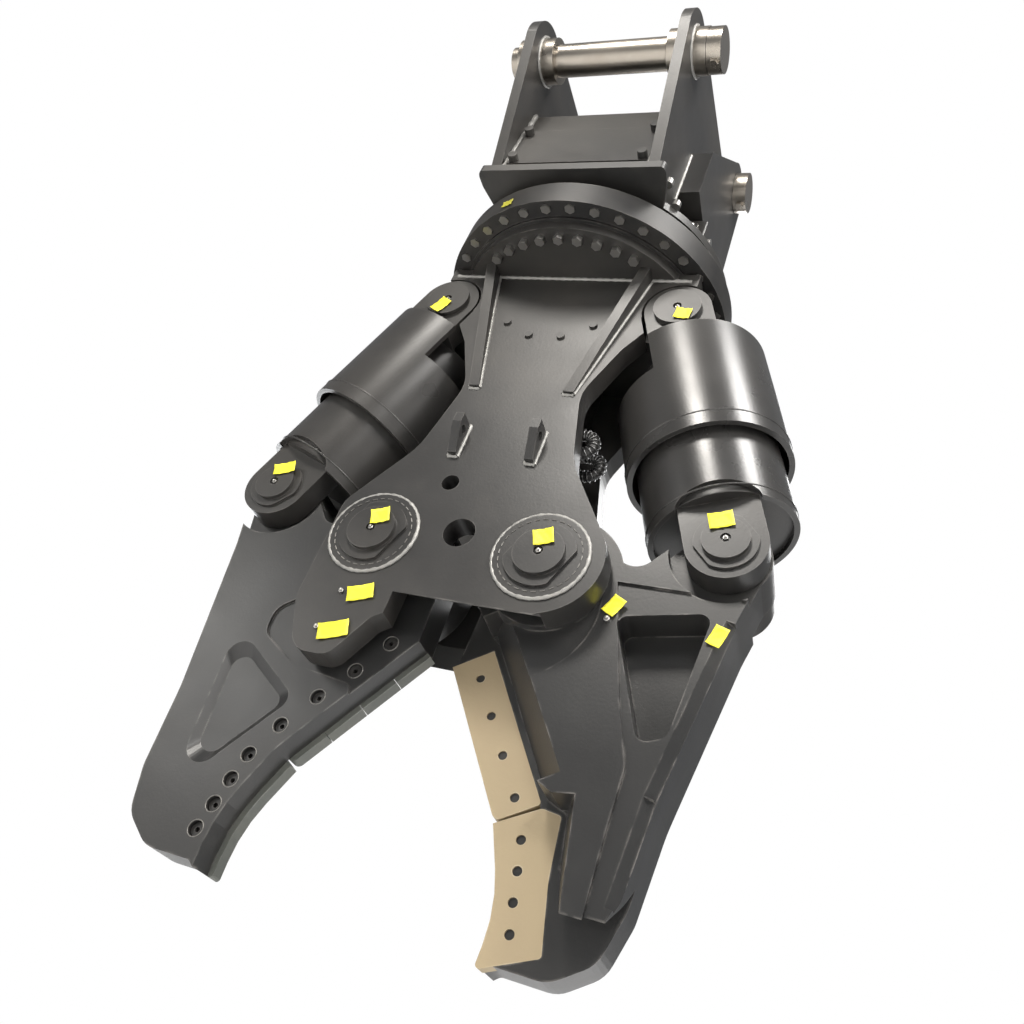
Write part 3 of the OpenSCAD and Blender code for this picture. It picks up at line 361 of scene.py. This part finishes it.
# The nodes of each finish; all others have the body paint
FINISHES = (
    (BRIGHT, ("stick_pin", "link_pin", "stick_bushes", "stick_pin_lock", "link_pin_lock", "main_pins",
              "gland_left", "gland_right", "jaw_bush_left", "jaw_bush_right")),
    (BOLT_STEEL, ("outer_ring_bolts", "inner_ring_bolts", "frame_nipples")),
    # The base plate takes the black paint as painted shade, for the shadow along its front edge and
    # underside
    (BLACK_PAINT_AND_SHADE, ("cover_bolts", "face_screws", "blade_bolts_left", "blade_bolts_right",
                   "base_plate", "slew_motor", "rotary_joint", "spine")),
    # The slewing ring's near-black colour is partly its phosphate finish and partly painted shade
    (RING_STEEL_AND_SHADE, ("slew_ring_outer", "slew_ring_inner")),
    (CHROME, ("piston_rod_left", "piston_rod_right")),
    # The right blades' primer is darkened partly as painted shade
    (BLADE_PRIMER_AND_SHADE, ("upper_blade_right", "lower_blade_right")),
    (BLADE_DARK, ("upper_blade_left", "lower_blade_left")),
    (HOSE, ("hoses",)),
    (BRONZE, ("guide_pads",)),
    (JAW_PAINT, ("jaw_left", "jaw_right")),
    (GUARD_PAINT, ("barrel_guard_left", "barrel_guard_right", "rod_guard_left", "rod_guard_right")),
)
FINISH_OF = {node: material for material, nodes in FINISHES for node in nodes}
for name, node in NODES.items():
    node.data.materials.clear()
    node.data.materials.append(FINISH_OF.get(name, BODY_PAINT))

# Camera and light

YAW, PITCH, ROLL = 0.470, 0.551, -0.385
CAMERA_PLACE = (0.8369, -1.2246, -2.2709)
LENS_PX, PICTURE_PX = 963.7, 1024
SENSOR_MM = 36.0
VIEW_DEPTH = 60.0


def photo_camera():
    """The photograph's camera: it looks along +Y, is pitched up, turned and rolled."""
    cy, sy, cp, sp, cr, sr = cos(YAW), sin(YAW), cos(PITCH), sin(PITCH), cos(ROLL), sin(ROLL)
    rz = Matrix(((cy, -sy, 0), (sy, cy, 0), (0, 0, 1)))
    rx = Matrix(((1, 0, 0), (0, cp, -sp), (0, sp, cp)))
    base = Matrix(((1, 0, 0), (0, 0, 1), (0, -1, 0)))
    roll = Matrix(((cr, -sr, 0), (sr, cr, 0), (0, 0, 1)))
    rows = roll @ base @ rx.transposed() @ rz.transposed()
    data = bpy.data.cameras.new("photo_camera")
    data.sensor_width = SENSOR_MM
    data.lens = SENSOR_MM * LENS_PX / PICTURE_PX
    data.clip_end = VIEW_DEPTH
    camera = bpy.data.objects.new("photo_camera", data)
    place = rows.transposed().to_4x4()
    place.translation = Vector(CAMERA_PLACE)
    camera.matrix_world = place
    bpy.context.scene.collection.objects.link(camera)
    bpy.context.scene.camera = camera


AIM = from_frame(0.0, 0.0, 0.1)


def soft_light(name, place, size, power, colour=(1, 1, 1)):
    """A round lamp that looks at the middle of the shear."""
    data = bpy.data.lights.new(name, "AREA")
    data.shape = "DISK"
    data.size = size
    data.energy = power
    data.color = colour
    light = bpy.data.objects.new(name, data)
    light.location = place
    light.rotation_euler = (AIM - Vector(place)).to_track_quat("-Z", "Y").to_euler()
    bpy.context.scene.collection.objects.link(light)


photo_camera()
soft_light("key_light", (-0.7, -2.8, 1.7), 1.0, 135, (1.0, 0.96, 0.90))
soft_light("guard_light", (1.9, -0.9, 2.0), 1.1, 95, (1.0, 0.98, 0.95))
soft_light("low_light", (1.5, -2.7, 0.5), 0.9, 50, (1.0, 0.98, 0.95))
soft_light("left_light", (-2.7, -2.2, -0.7), 1.3, 28, (1.0, 0.98, 0.94))
soft_light("right_light", (3.4, -1.6, 0.8), 1.8, 105, (1.0, 0.97, 0.93))
soft_light("back_light", (0.2, 3.6, 0.9), 2.2, 80)
soft_light("back_left_light", (-2.8, 2.8, 0.0), 2.2, 80, (0.96, 0.98, 1.0))

WORLD_COLOUR, WORLD_LEVEL = (0.9, 0.92, 0.95, 1), 0.26
WHITE = (1, 1, 1, 1)


def pale_world():
    """Dim, even light on the object, and plain white for the camera and through glass."""
    scene = bpy.context.scene
    scene.view_settings.view_transform = "Standard"
    scene.world = bpy.data.worlds.new("pale_studio")
    scene.world.use_nodes = True
    t = scene.world.node_tree
    t.nodes.clear()
    plain = add(t, "ShaderNodeBackground", in_0=WORLD_COLOUR, in_1=WORLD_LEVEL)
    white = add(t, "ShaderNodeBackground", in_0=WHITE, in_1=1.0)
    path = add(t, "ShaderNodeLightPath")
    either = add(t, "ShaderNodeMath", operation="MAXIMUM")
    join(t, path.outputs["Is Camera Ray"], either.inputs[0])
    join(t, path.outputs["Is Transmission Ray"], either.inputs[1])
    pick = add(t, "ShaderNodeMixShader")
    out = add(t, "ShaderNodeOutputWorld")
    join(t, either.outputs[0], pick.inputs[0])
    join(t, plain.outputs[0], pick.inputs[1])
    join(t, white.outputs[0], pick.inputs[2])
    join(t, pick.outputs[0], out.inputs["Surface"])


FLOOR_SIZE, FLOOR_DROP = 24, -2.13
FLOOR_COLOUR, FLOOR_ROUGH = (0.93, 0.93, 0.93, 1), 0.9
FLOOR_GLOW, GLOW_SHARE = 0.92, 0.68


def pale_floor():
    """A pale floor just below the jaws, seen only from above."""
    bpy.ops.object.select_all(action="DESELECT")
    bpy.ops.mesh.primitive_plane_add(size=FLOOR_SIZE, location=(0, SLEW_BACK, FLOOR_DROP))
    floor = bpy.context.object
    floor.name = "floor"
    mat = bpy.data.materials.new("floor_white")
    mat.use_nodes = True
    t = mat.node_tree
    shader = t.nodes["Principled BSDF"]
    shader.inputs["Base Color"].default_value = FLOOR_COLOUR
    shader.inputs["Roughness"].default_value = FLOOR_ROUGH
    clear = add(t, "ShaderNodeBsdfTransparent")
    side = add(t, "ShaderNodeNewGeometry")
    mix = add(t, "ShaderNodeMixShader")
    bright = add(t, "ShaderNodeEmission", in_0=WHITE, in_1=FLOOR_GLOW)
    view_path = add(t, "ShaderNodeLightPath")
    share = add(t, "ShaderNodeMath", operation="MULTIPLY", in_1=GLOW_SHARE)
    join(t, view_path.outputs["Is Camera Ray"], share.inputs[0])
    paler = add(t, "ShaderNodeMixShader")
    join(t, share.outputs[0], paler.inputs[0])
    join(t, shader.outputs[0], paler.inputs[1])
    join(t, bright.outputs[0], paler.inputs[2])
    join(t, side.outputs["Backfacing"], mix.inputs[0])
    join(t, paler.outputs[0], mix.inputs[1])
    join(t, clear.outputs[0], mix.inputs[2])
    join(t, mix.outputs[0], t.nodes["Material Output"].inputs["Surface"])
    floor.data.materials.append(mat)


pale_world()
pale_floor()

# Modelling helpers


def clear_selection():
    """Back to object mode, with nothing selected."""
    if bpy.context.object and bpy.context.object.mode != "OBJECT":
        bpy.ops.object.mode_set(mode="OBJECT")
    bpy.ops.object.select_all(action="DESELECT")


def settle(obj, name, body, material):
    """Applies the place, names the piece, gives it its finish and lets it ride on its body."""
    clear_selection()
    obj.select_set(True)
    bpy.context.view_layer.objects.active = obj
    bpy.ops.object.transform_apply(location=True, rotation=True, scale=True)
    obj.name = name
    obj.data.name = name
    obj.data.materials.clear()
    obj.data.materials.append(material)
    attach(obj, body)
    obj.select_set(False)


def strand(points, radius, closed=False, swell=0.0, waves=1.0):
    """A tube along points: a lone vertex is extruded from point to point, then gets a round section.

    swell lets its thickness wander by the sum of two waves, as a weld bead's does.
    """
    clear_selection()
    bpy.ops.mesh.primitive_plane_add(size=0.001, location=points[0])
    obj = bpy.context.object
    bpy.ops.object.mode_set(mode="EDIT")
    bpy.ops.mesh.select_all(action="SELECT")
    bpy.ops.mesh.merge(type="CENTER")
    for a, b in zip(points, points[1:]):
        step = Vector(b) - Vector(a)
        bpy.ops.mesh.extrude_region_move(TRANSFORM_OT_translate={"value": step})
    bpy.ops.object.mode_set(mode="OBJECT")
    bpy.ops.object.convert(target="CURVE")
    line = obj.data.splines[0]
    line.use_cyclic_u = closed
    obj.data.bevel_depth = radius
    obj.data.bevel_resolution = 2
    obj.data.use_fill_caps = not closed
    for k, point in enumerate(line.points):
        wander = (sin(k * waves * 2.1) + 0.6 * sin(k * waves * 0.83 + 1.3)) / 1.6
        point.radius = 1.0 + swell * wander
    bpy.ops.object.convert(target="MESH")
    return obj


def merge(objects):
    """One piece from several, which all lie where they belong."""
    clear_selection()
    for obj in objects:
        obj.select_set(True)
    bpy.context.view_layer.objects.active = objects[0]
    if len(objects) > 1:
        bpy.ops.object.join()
    return bpy.context.object


def smooth_piece(objects, name, body, material):
    """One smooth-shaded piece from several, settled on its body."""
    piece = merge(objects)
    bpy.ops.object.shade_smooth()
    settle(piece, name, body, material)


def between(a, b, step):
    """Points from a to b, about a step apart."""
    a, b = Vector(a), Vector(b)
    count = max(2, int((b - a).length / step))
    return [a.lerp(b, k / count) for k in range(count + 1)]


X, Y, Z = Vector((1, 0, 0)), Vector((0, 1, 0)), Vector((0, 0, 1))


def circle_points(centre, radius, count, u=X, v=Z, start=0.0, turn=2 * pi):
    """Points round a circle or an arc; a whole turn leaves out the last, which is the first."""
    centre = Vector(centre)
    last = count if abs(turn - 2 * pi) < 1e-6 else count + 1
    angles = [start + turn * k / count for k in range(last)]
    return [centre + radius * (u * cos(a) + v * sin(a)) for a in angles]


# How much a bead's thickness wanders, and the step of its ripples in shares of its radius
LINE_SWELL, RING_SWELL, SEAM_SWELL = 0.22, 0.2, 0.16
LINE_STEP, RING_STEP, SEAM_STEP = 1.3, 1.4, 1.5


def run_of_weld(name, lines, radius, body):
    """Weld beads along straight lines, each from a to b."""
    beads = [strand(between(a, b, radius * LINE_STEP), radius, swell=LINE_SWELL,
                    waves=1.0 + 0.13 * k) for k, (a, b) in enumerate(lines)]
    smooth_piece(beads, name, body, WELD)


def ring_of_weld(name, rings, radius, body):
    """Weld beads round circles that lie in X and Z, each (centre, radius)."""
    beads = [strand(circle_points(c, r, int(2 * pi * r / (radius * RING_STEP))), radius,
                    closed=True, swell=RING_SWELL) for c, r in rings]
    smooth_piece(beads, name, body, WELD)


# Weld beads

FINE_BEAD, MIDDLE_BEAD, PLAIN_BEAD, WALL_BEAD = 0.0042, 0.0045, 0.0048, 0.0075
PIN_RING_R, BUSH_SEAM_R = 0.0965, 0.0585
SEAM_PROUD = 0.0015

pin_rings = [(from_frame(s * JAW_PIN, t * (FACE + SEAM_PROUD), 0), PIN_RING_R)
             for s in SIDES for t in SIDES]
ring_of_weld("pin_ring_welds", pin_rings, FINE_BEAD, "frame")

# Along both edges of each long rib, which leans outwards, and round its foot
RIB_FOOT, RIB_TOP = Vector((0.113, 0, 0.420)), Vector((0.196, 0, FLANGE_LOW))
RIB_SHARE, RIB_END_GAP, RIB_FOOT_GAP = 0.985, 0.005, 0.003
RIB_EDGE = Vector((0.0125, 0, 0))
rib_lines = []
for t in SIDES:
    for s in SIDES:
        top_x = RIB_FOOT.x + (RIB_TOP.x - RIB_FOOT.x) * RIB_SHARE
        low = Vector((s * RIB_FOOT.x, t * FACE, RIB_FOOT.z))
        high = Vector((s * top_x, t * FACE, RIB_TOP.z - RIB_END_GAP))
        for e in SIDES:
            rib_lines.append((from_frame(*(low + e * RIB_EDGE)), from_frame(*(high + e * RIB_EDGE))))
        foot = Vector((s * RIB_FOOT.x, t * FACE, RIB_FOOT.z - RIB_FOOT_GAP))
        rib_lines.append((from_frame(*(foot - RIB_EDGE)), from_frame(*(foot + RIB_EDGE))))
run_of_weld("rib_welds", rib_lines, FINE_BEAD, "frame")

# Round the two lifting lugs
LUG_X, LUG_SIDE, LUG_END = 0.089, 0.0105, 0.012
LUG_LOW, LUG_TOP = 0.218, 0.306
lug_lines = []
for s in SIDES:
    for e in SIDES:
        x = s * LUG_X + e * LUG_SIDE
        lug_lines.append((from_frame(x, -FACE, LUG_LOW), from_frame(x, -FACE, LUG_TOP)))
    for z in (LUG_LOW, LUG_TOP):
        lug_lines.append((from_frame(s * LUG_X - LUG_END, -FACE, z),
                          from_frame(s * LUG_X + LUG_END, -FACE, z)))
run_of_weld("lifting_lug_welds", lug_lines, MIDDLE_BEAD, "frame")

FLANGE_SEAM_X, FLANGE_SEAM_Z = 0.3, FLANGE_LOW - 0.001
flange_lines = [(from_frame(-FLANGE_SEAM_X, t * FACE, FLANGE_SEAM_Z),
                 from_frame(FLANGE_SEAM_X, t * FACE, FLANGE_SEAM_Z)) for t in SIDES]
run_of_weld("flange_welds", flange_lines, PLAIN_BEAD, "frame")

# Round the ears' feet and the front wall's foot, and up the right boss block's front edge
EAR_SEAM_FRONT, EAR_SEAM_BACK, EAR_END = 0.045, 0.610, 0.037
CORNER_GAP = 0.001
BOSS_SEAM = (0.2105, 0.188)
BOSS_SEAM_LOW, BOSS_SEAM_TOP = -0.330, -0.150
foot_lines = []
for s in SIDES:
    foot_lines.append(((s * EAR_OUT, EAR_SEAM_FRONT, FLOOR_Z), (s * EAR_OUT, EAR_SEAM_BACK, FLOOR_Z)))
    foot_lines.append(((s * (EAR_IN + CORNER_GAP), EAR_END, FLOOR_Z),
                       (s * (EAR_OUT - CORNER_GAP), EAR_END, FLOOR_Z)))
foot_lines.append(((-EAR_IN, EAR_SEAM_FRONT, FLOOR_Z), (EAR_IN, EAR_SEAM_FRONT, FLOOR_Z)))
foot_lines.append(((*BOSS_SEAM, BOSS_SEAM_LOW), (*BOSS_SEAM, BOSS_SEAM_TOP)))
run_of_weld("bracket_welds", foot_lines, PLAIN_BEAD, "bracket")

# Up the leaning front wall, in the corners with the ears
WALL_RISE, WALL_LEAN = 0.262, 0.020
WALL_FOOT_Y, WALL_TOP_Y, WALL_FOOT_UP = 0.0435, 0.0630, 0.004
WALL_SEAM_X = EAR_IN - 0.002
wall_lines = [((s * WALL_SEAM_X, WALL_FOOT_Y, FLOOR_Z + WALL_FOOT_UP),
               (s * WALL_SEAM_X, WALL_TOP_Y, FLOOR_Z + WALL_RISE)) for s in SIDES]
run_of_weld("wall_welds", wall_lines, WALL_BEAD, "bracket")

# Round the bushes of both bracket pins, on the ears
BUSH_SEAM_POINTS = 56
stick, link = middle_of("stick_pin"), middle_of("link_pin")
bush_places = [(s * x, stick.y, stick.z) for s in SIDES for x in (EAR_IN, EAR_OUT)]
bush_places += [(s * EAR_IN, link.y, link.z) for s in SIDES]
bush_seams = [strand(circle_points(place, BUSH_SEAM_R, BUSH_SEAM_POINTS, Y, Z), MIDDLE_BEAD,
                     closed=True, swell=RING_SWELL) for place in bush_places]
smooth_piece(bush_seams, "bush_welds", "bracket", WELD)

# Guard seams

# How far down the cylinder from its upper pin, radius and bead of each seam
GUARD_SEAM, ROD_GUARD_SEAM = (0.340, 0.1773, 0.0022), (0.516, 0.1533, 0.002)


def cylinder_ring(side, along, radius, bead):
    """A painted-over bead round a guard tube."""
    axis = (ROD_PIN - CYL_PIN).normalized()
    spot = CYL_PIN + axis * along
    across = Vector((side * -axis.z, 0, axis.x))
    count = int(2 * pi * radius / (bead * SEAM_STEP))
    points = circle_points(from_frame(side * spot.x, 0, spot.z), radius, count, across, Y)
    return strand(points, bead, closed=True, swell=SEAM_SWELL)


for side, label in zip(SIDES, ("left", "right")):
    smooth_piece([cylinder_ring(side, *GUARD_SEAM)], f"guard_seam_{label}", f"barrel_{label}",
                 GUARD_PAINT)
    smooth_piece([cylinder_ring(side, *ROD_GUARD_SEAM)], f"rod_guard_seam_{label}", f"rod_{label}",
                 GUARD_PAINT)

# Grease nipples

NIPPLE_SIZE, JAW_NIPPLE_SIZE = 0.0055, 0.0065
# Its bevel, its ball's radius and the ball's height, in shares of its size
NIPPLE_BEVEL, BALL_R, BALL_UP = 0.12, 0.55, 1.35
# How far each nipple's seat lies below the outermost face of its pin
CAP_SEAT, UPPER_SEAT, ROD_SEAT = 0.005, 0.0085, 0.005
LOBE_NIPPLES = ((-0.192, -0.147), (-0.207, -0.233))
JAW_NIPPLE = (0.326, -0.072)


def nipple(place, normal, size=NIPPLE_SIZE):
    """A hexagon with a ball on it."""
    clear_selection()
    turn = Vector(normal).to_track_quat("Z", "Y").to_euler()
    place = Vector(place)
    normal = Vector(normal).normalized()
    bpy.ops.mesh.primitive_cylinder_add(
        vertices=6, radius=size, depth=size, location=place + normal * size * 0.5, rotation=turn
    )
    hexagon = bpy.context.object
    bpy.ops.object.mode_set(mode="EDIT")
    bpy.ops.mesh.select_all(action="SELECT")
    bpy.ops.mesh.bevel(offset=size * NIPPLE_BEVEL, segments=1)
    bpy.ops.object.mode_set(mode="OBJECT")
    bpy.ops.mesh.primitive_uv_sphere_add(
        segments=14, ring_count=9, radius=size * BALL_R, location=place + normal * size * BALL_UP
    )
    return [hexagon, bpy.context.object]


for t, label in zip(SIDES, ("front", "back")):
    points = []
    for s in SIDES:
        points += nipple(from_frame(s * JAW_PIN, t * (CAP_OUT - CAP_SEAT), 0), (0, t, 0))
    for x, z in LOBE_NIPPLES:
        points += nipple(from_frame(-t * x, t * FACE, z), (0, t, 0))
    settle(merge(points), f"frame_grease_points_{label}", "frame", BOLT_STEEL)
for side, label in zip(SIDES, ("left", "right")):
    upper, lower = [], []
    for t in SIDES:
        upper += nipple(from_frame(side * CYL_PIN.x, t * (UPPER_OUT - UPPER_SEAT), CYL_PIN.z),
                        (0, t, 0))
        lower += nipple(from_frame(side * ROD_PIN.x, t * (ROD_OUT - ROD_SEAT), ROD_PIN.z), (0, t, 0))
    settle(merge(upper), f"upper_grease_points_{label}", f"barrel_{label}", BOLT_STEEL)
    settle(merge(lower), f"lower_grease_points_{label}", f"rod_{label}", BOLT_STEEL)
for side, label in zip(SIDES, ("left", "right")):
    x, z = JAW_NIPPLE
    hub = nipple(from_frame(side * x, -side * JAW_HALF, z), (0, -side, 0), JAW_NIPPLE_SIZE)
    settle(merge(hub), f"jaw_grease_point_{label}", f"jaw_{label}", BOLT_STEEL)

# Paper tags

PAPER, PAPER_GAP, PAPER_WAVE, CURL = 0.0006, 0.0012, 0.0008, 0.004


def tag(name, place, normal, along, width, height, body, material=TAG, curl=CURL):
    """A plain paper tag, a little curled, stuck by its middle."""
    clear_selection()
    normal, along = Vector(normal).normalized(), Vector(along).normalized()
    along = (along - normal * along.dot(normal)).normalized()
    up = normal.cross(along)
    bpy.ops.mesh.primitive_grid_add(x_subdivisions=10, y_subdivisions=6, size=1.0)
    obj = bpy.context.object
    for v in obj.data.vertices:
        # From -0.5 to 0.5 over the sheet; its ends and its corners lift most
        x, y = v.co.x, v.co.y
        lift = curl * ((x * 2) ** 2 * 0.6 + (y * 2) ** 4 * 0.4) + PAPER_GAP
        lift += PAPER_WAVE * sin(x * 17 + y * 9)
        v.co = Vector(place) + along * x * width + up * y * height + normal * lift
    solid = obj.modifiers.new("paper", "SOLIDIFY")
    solid.thickness = PAPER
    solid.offset = 1
    bpy.context.view_layer.objects.active = obj
    bpy.ops.object.modifier_apply(modifier=solid.name)
    bpy.ops.object.shade_smooth()
    settle(obj, name, body, material)


FRONT = (0, -1, 0)
ACROSS, RISING = (0.94, 0, 0.34), (0.5, 0, 0.87)
# On the front faces: what carries it, x and z, how far out, its long side, width, height and body
FRONT_TAGS = (
    ("jaw_pin_left", -0.173, 0.028, CAP_OUT, ACROSS, 0.041, 0.036, "frame"),
    ("jaw_pin_right", 0.187, 0.030, CAP_OUT, ACROSS, 0.041, 0.036, "frame"),
    ("upper_left", -0.296, 0.672, UPPER_OUT, RISING, 0.046, 0.032, "barrel_left"),
    ("upper_right", 0.308, 0.672, UPPER_OUT, (0.98, 0, -0.1), 0.036, 0.032, "barrel_right"),
    ("rod_left", -0.502, 0.152, ROD_OUT, ACROSS, 0.052, 0.03, "rod_left"),
    ("rod_right", 0.498, 0.152, ROD_OUT, ACROSS, 0.048, 0.036, "rod_right"),
    ("lobe_upper", -0.149, -0.144, FACE, ACROSS, 0.056, 0.034, "frame"),
    ("lobe_lower", -0.169, -0.233, FACE, ACROSS, 0.064, 0.036, "frame"),
    ("jaw_hub", 0.332, -0.042, JAW_HALF, (0.45, 0, 0.89), 0.042, 0.029, "jaw_right"),
    ("jaw_arm", 0.533, -0.068, ARM_HALF, (0.3, 0, 0.95), 0.042, 0.028, "jaw_right"),
)
for name, x, z, out, along, width, height, body in FRONT_TAGS:
    tag(f"tag_{name}", from_frame(x, -out, z), FRONT, along, width, height, body)

# The dull one lies against the round wall of the slewing ring
RING_TAG, RING_TAG_SIZE = (-0.1339, 0.0638, -0.508), (0.030, 0.020)
RING_OUT, RING_ALONG = (-0.37, -0.93, 0), (0.93, -0.37, 0)
tag("tag_ring", RING_TAG, RING_OUT, RING_ALONG, *RING_TAG_SIZE, "bracket", TAG_DULL, CURL / 2)

# Wire spirals round the hose loops between the plates

HOSE_R, BEND_R, RUN, HOSE_LOW = 0.012, 0.027, 0.066, 0.338
# Where the loops lie between the plates, in shares of half the gap
HOSE_SHARES = (-0.56, 0.2)
WIRE_R, WIRE_PROUD, BARE_END = 0.0019, 0.0016, 0.018
TURNS, POINTS_PER_TURN = 20, 10


def hose_line(along):
    """A point and its outward direction at a distance along one hose loop."""
    arc = pi * BEND_R
    if along < RUN:
        return Vector((along, 0, 0)), Vector((0, 0, -1))
    if along < RUN + arc:
        a = (along - RUN) / BEND_R
        return Vector((RUN + BEND_R * sin(a), 0, BEND_R * (1 - cos(a)))), Vector((sin(a), 0, -cos(a)))
    return Vector((RUN - (along - RUN - arc), 0, 2 * BEND_R)), Vector((0, 0, 1))


def spiral(side, y):
    """One wire, wound round a whole hose loop."""
    wound = RUN * 2 + pi * BEND_R - BARE_END * 2
    points = []
    for k in range(TURNS * POINTS_PER_TURN + 1):
        spot, out = hose_line(BARE_END + wound * k / (TURNS * POINTS_PER_TURN))
        a = 2 * pi * k / POINTS_PER_TURN
        q = spot + (HOSE_R + WIRE_PROUD) * (out * cos(a) + Y * sin(a))
        points.append(from_frame(side * (SPINE_HALF + q.x), side * (y + q.y), HOSE_LOW + q.z))
    return strand(points, WIRE_R)


for side, label in zip(SIDES, ("left", "right")):
    coils = [spiral(side, share * GAP_HALF) for share in HOSE_SHARES]
    smooth_piece(coils, f"hose_spirals_{label}", "frame", HOSE_WIRE)

# Ground rims round the sunk blade bolts

# Places of the bolts from the jaw's pin in shares of the jaw's length, as in the part's source
JAW_LEN = 0.690
STEP_BOLTS = ((-0.143, -0.292), (-0.072, -0.395))
FACE_BOLTS = ((-0.001, -0.497), (0.07, -0.6), (0.122, -0.7), (0.138, -0.776), (0.152, -0.85),
              (0.168, -0.922))
BOLT_RIM_R, RIM_BEAD, RIM_POINTS = 0.0158, 0.0011, 28
for side, label in zip(SIDES, ("left", "right")):
    rims = []
    for half, bolts in ((STEP_HALF, STEP_BOLTS), (JAW_HALF, FACE_BOLTS)):
        for x, z in bolts:
            place = from_frame(side * (JAW_PIN + x * JAW_LEN), side * half, z * JAW_LEN)
            rims.append(strand(circle_points(place, BOLT_RIM_R, RIM_POINTS), RIM_BEAD, closed=True))
    smooth_piece(rims, f"bolt_rims_{label}", f"jaw_{label}", RIM)

# Broken sealing line round the jaw pins' caps

SEAL_R, SEAL_PROUD, SEAL_BEAD = 0.0835, 0.0053, 0.0012
DASHES, DASH_TURN = 30, 2 * pi / 52
dashes = []
for t in SIDES:
    for s in SIDES:
        centre = from_frame(s * JAW_PIN, t * (FACE + SEAL_PROUD), 0)
        for k in range(DASHES):
            arc = circle_points(centre, SEAL_R, 3, start=2 * pi * k / DASHES, turn=DASH_TURN)
            dashes.append(strand(arc, SEAL_BEAD))
settle(merge(dashes), "sealing_line", "frame", RIM)

# Socket screws of the cover plate, and the valve beside the right ear

# A screw's bevel and the width of its rim in shares of its radius, and its socket's depth in shares
# of its height
SCREW_BEVEL, SCREW_RIM, SOCKET_DEPTH = 0.09, 0.42, 0.3


def socket_screw(place, turn, radius, height):
    """A cylinder head with a bevelled rim and a sunk round socket."""
    clear_selection()
    bpy.ops.mesh.primitive_cylinder_add(
        vertices=30, radius=radius, depth=height, location=place, rotation=turn
    )
    head = bpy.context.object
    bpy.ops.object.mode_set(mode="EDIT")
    bpy.ops.mesh.select_all(action="SELECT")
    bpy.ops.mesh.bevel(offset=radius * SCREW_BEVEL, segments=2)
    bpy.ops.object.mode_set(mode="OBJECT")
    ends = [f for f in head.data.polygons if abs(f.normal.z) > 0.99 and f.area > radius * radius]
    for polygon in head.data.polygons:
        polygon.select = polygon in ends
    bpy.ops.object.mode_set(mode="EDIT")
    bpy.ops.mesh.inset(thickness=radius * SCREW_RIM)
    bpy.ops.mesh.extrude_region_shrink_fatten(
        TRANSFORM_OT_shrink_fatten={"value": -height * SOCKET_DEPTH}
    )
    bpy.ops.object.mode_set(mode="OBJECT")
    return head


SCREW_R, SCREW_H = 0.0118, 0.017
SCREW_XS, SCREW_UPS = (-0.162, 0.162), (0.040, 0.162)
# The screws' middles stand out from the wall, which leans back
LEAN = atan2(WALL_LEAN, WALL_RISE)
WALL_Y, SCREW_OUT = 0.0460, 0.0165
screws = []
for x in SCREW_XS:
    for up in SCREW_UPS:
        y = WALL_Y + up * sin(LEAN) - SCREW_OUT * cos(LEAN)
        z = FLOOR_Z + up * cos(LEAN) + SCREW_OUT * sin(LEAN)
        screws.append(socket_screw(Vector((x, y, z)), (pi / 2 - LEAN, 0, 0), SCREW_R, SCREW_H))
settle(merge(screws), "cover_screws", "bracket", BLACK_PAINT_AND_SHADE)

VALVE_SIZE, VALVE_PLACE, VALVE_BEVEL = (0.062, 0.070, 0.104), (0.250, 0.300, 0.052), 0.006
# Plugs in the valve's front and right face, and screws in the base plate, each with its place over
# the base plate, its turn, radius and height
valve_x, valve_y, valve_up = VALVE_PLACE
PLUGS = (
    ((valve_x, 0.264, 0.036), (pi / 2, 0, 0), 0.013, 0.014),
    ((valve_x, 0.264, 0.072), (pi / 2, 0, 0), 0.013, 0.014),
    ((0.282, 0.285, 0.030), (0, pi / 2, 0), 0.012, 0.012),
    ((0.282, 0.315, 0.075), (0, pi / 2, 0), 0.012, 0.012),
    ((0.226, 0.090, 0.007), (0, 0, 0), 0.011, 0.016),
    ((0.236, 0.150, 0.007), (0, 0, 0), 0.011, 0.016),
    ((0.262, 0.215, 0.007), (0, 0, 0), 0.011, 0.016),
)
clear_selection()
bpy.ops.mesh.primitive_cube_add(size=1.0, location=(valve_x, valve_y, FLOOR_Z + valve_up))
block = bpy.context.object
block.scale = VALVE_SIZE
bpy.ops.object.transform_apply(location=False, rotation=False, scale=True)
bpy.ops.object.mode_set(mode="EDIT")
bpy.ops.mesh.select_all(action="SELECT")
bpy.ops.mesh.bevel(offset=VALVE_BEVEL, segments=3)
bpy.ops.object.mode_set(mode="OBJECT")
settle(block, "side_valve", "bracket", BODY_PAINT)
plugs = [socket_screw((x, y, FLOOR_Z + up), turn, radius, height)
         for (x, y, up), turn, radius, height in PLUGS]
settle(merge(plugs), "valve_plugs", "bracket", BOLT_STEEL)
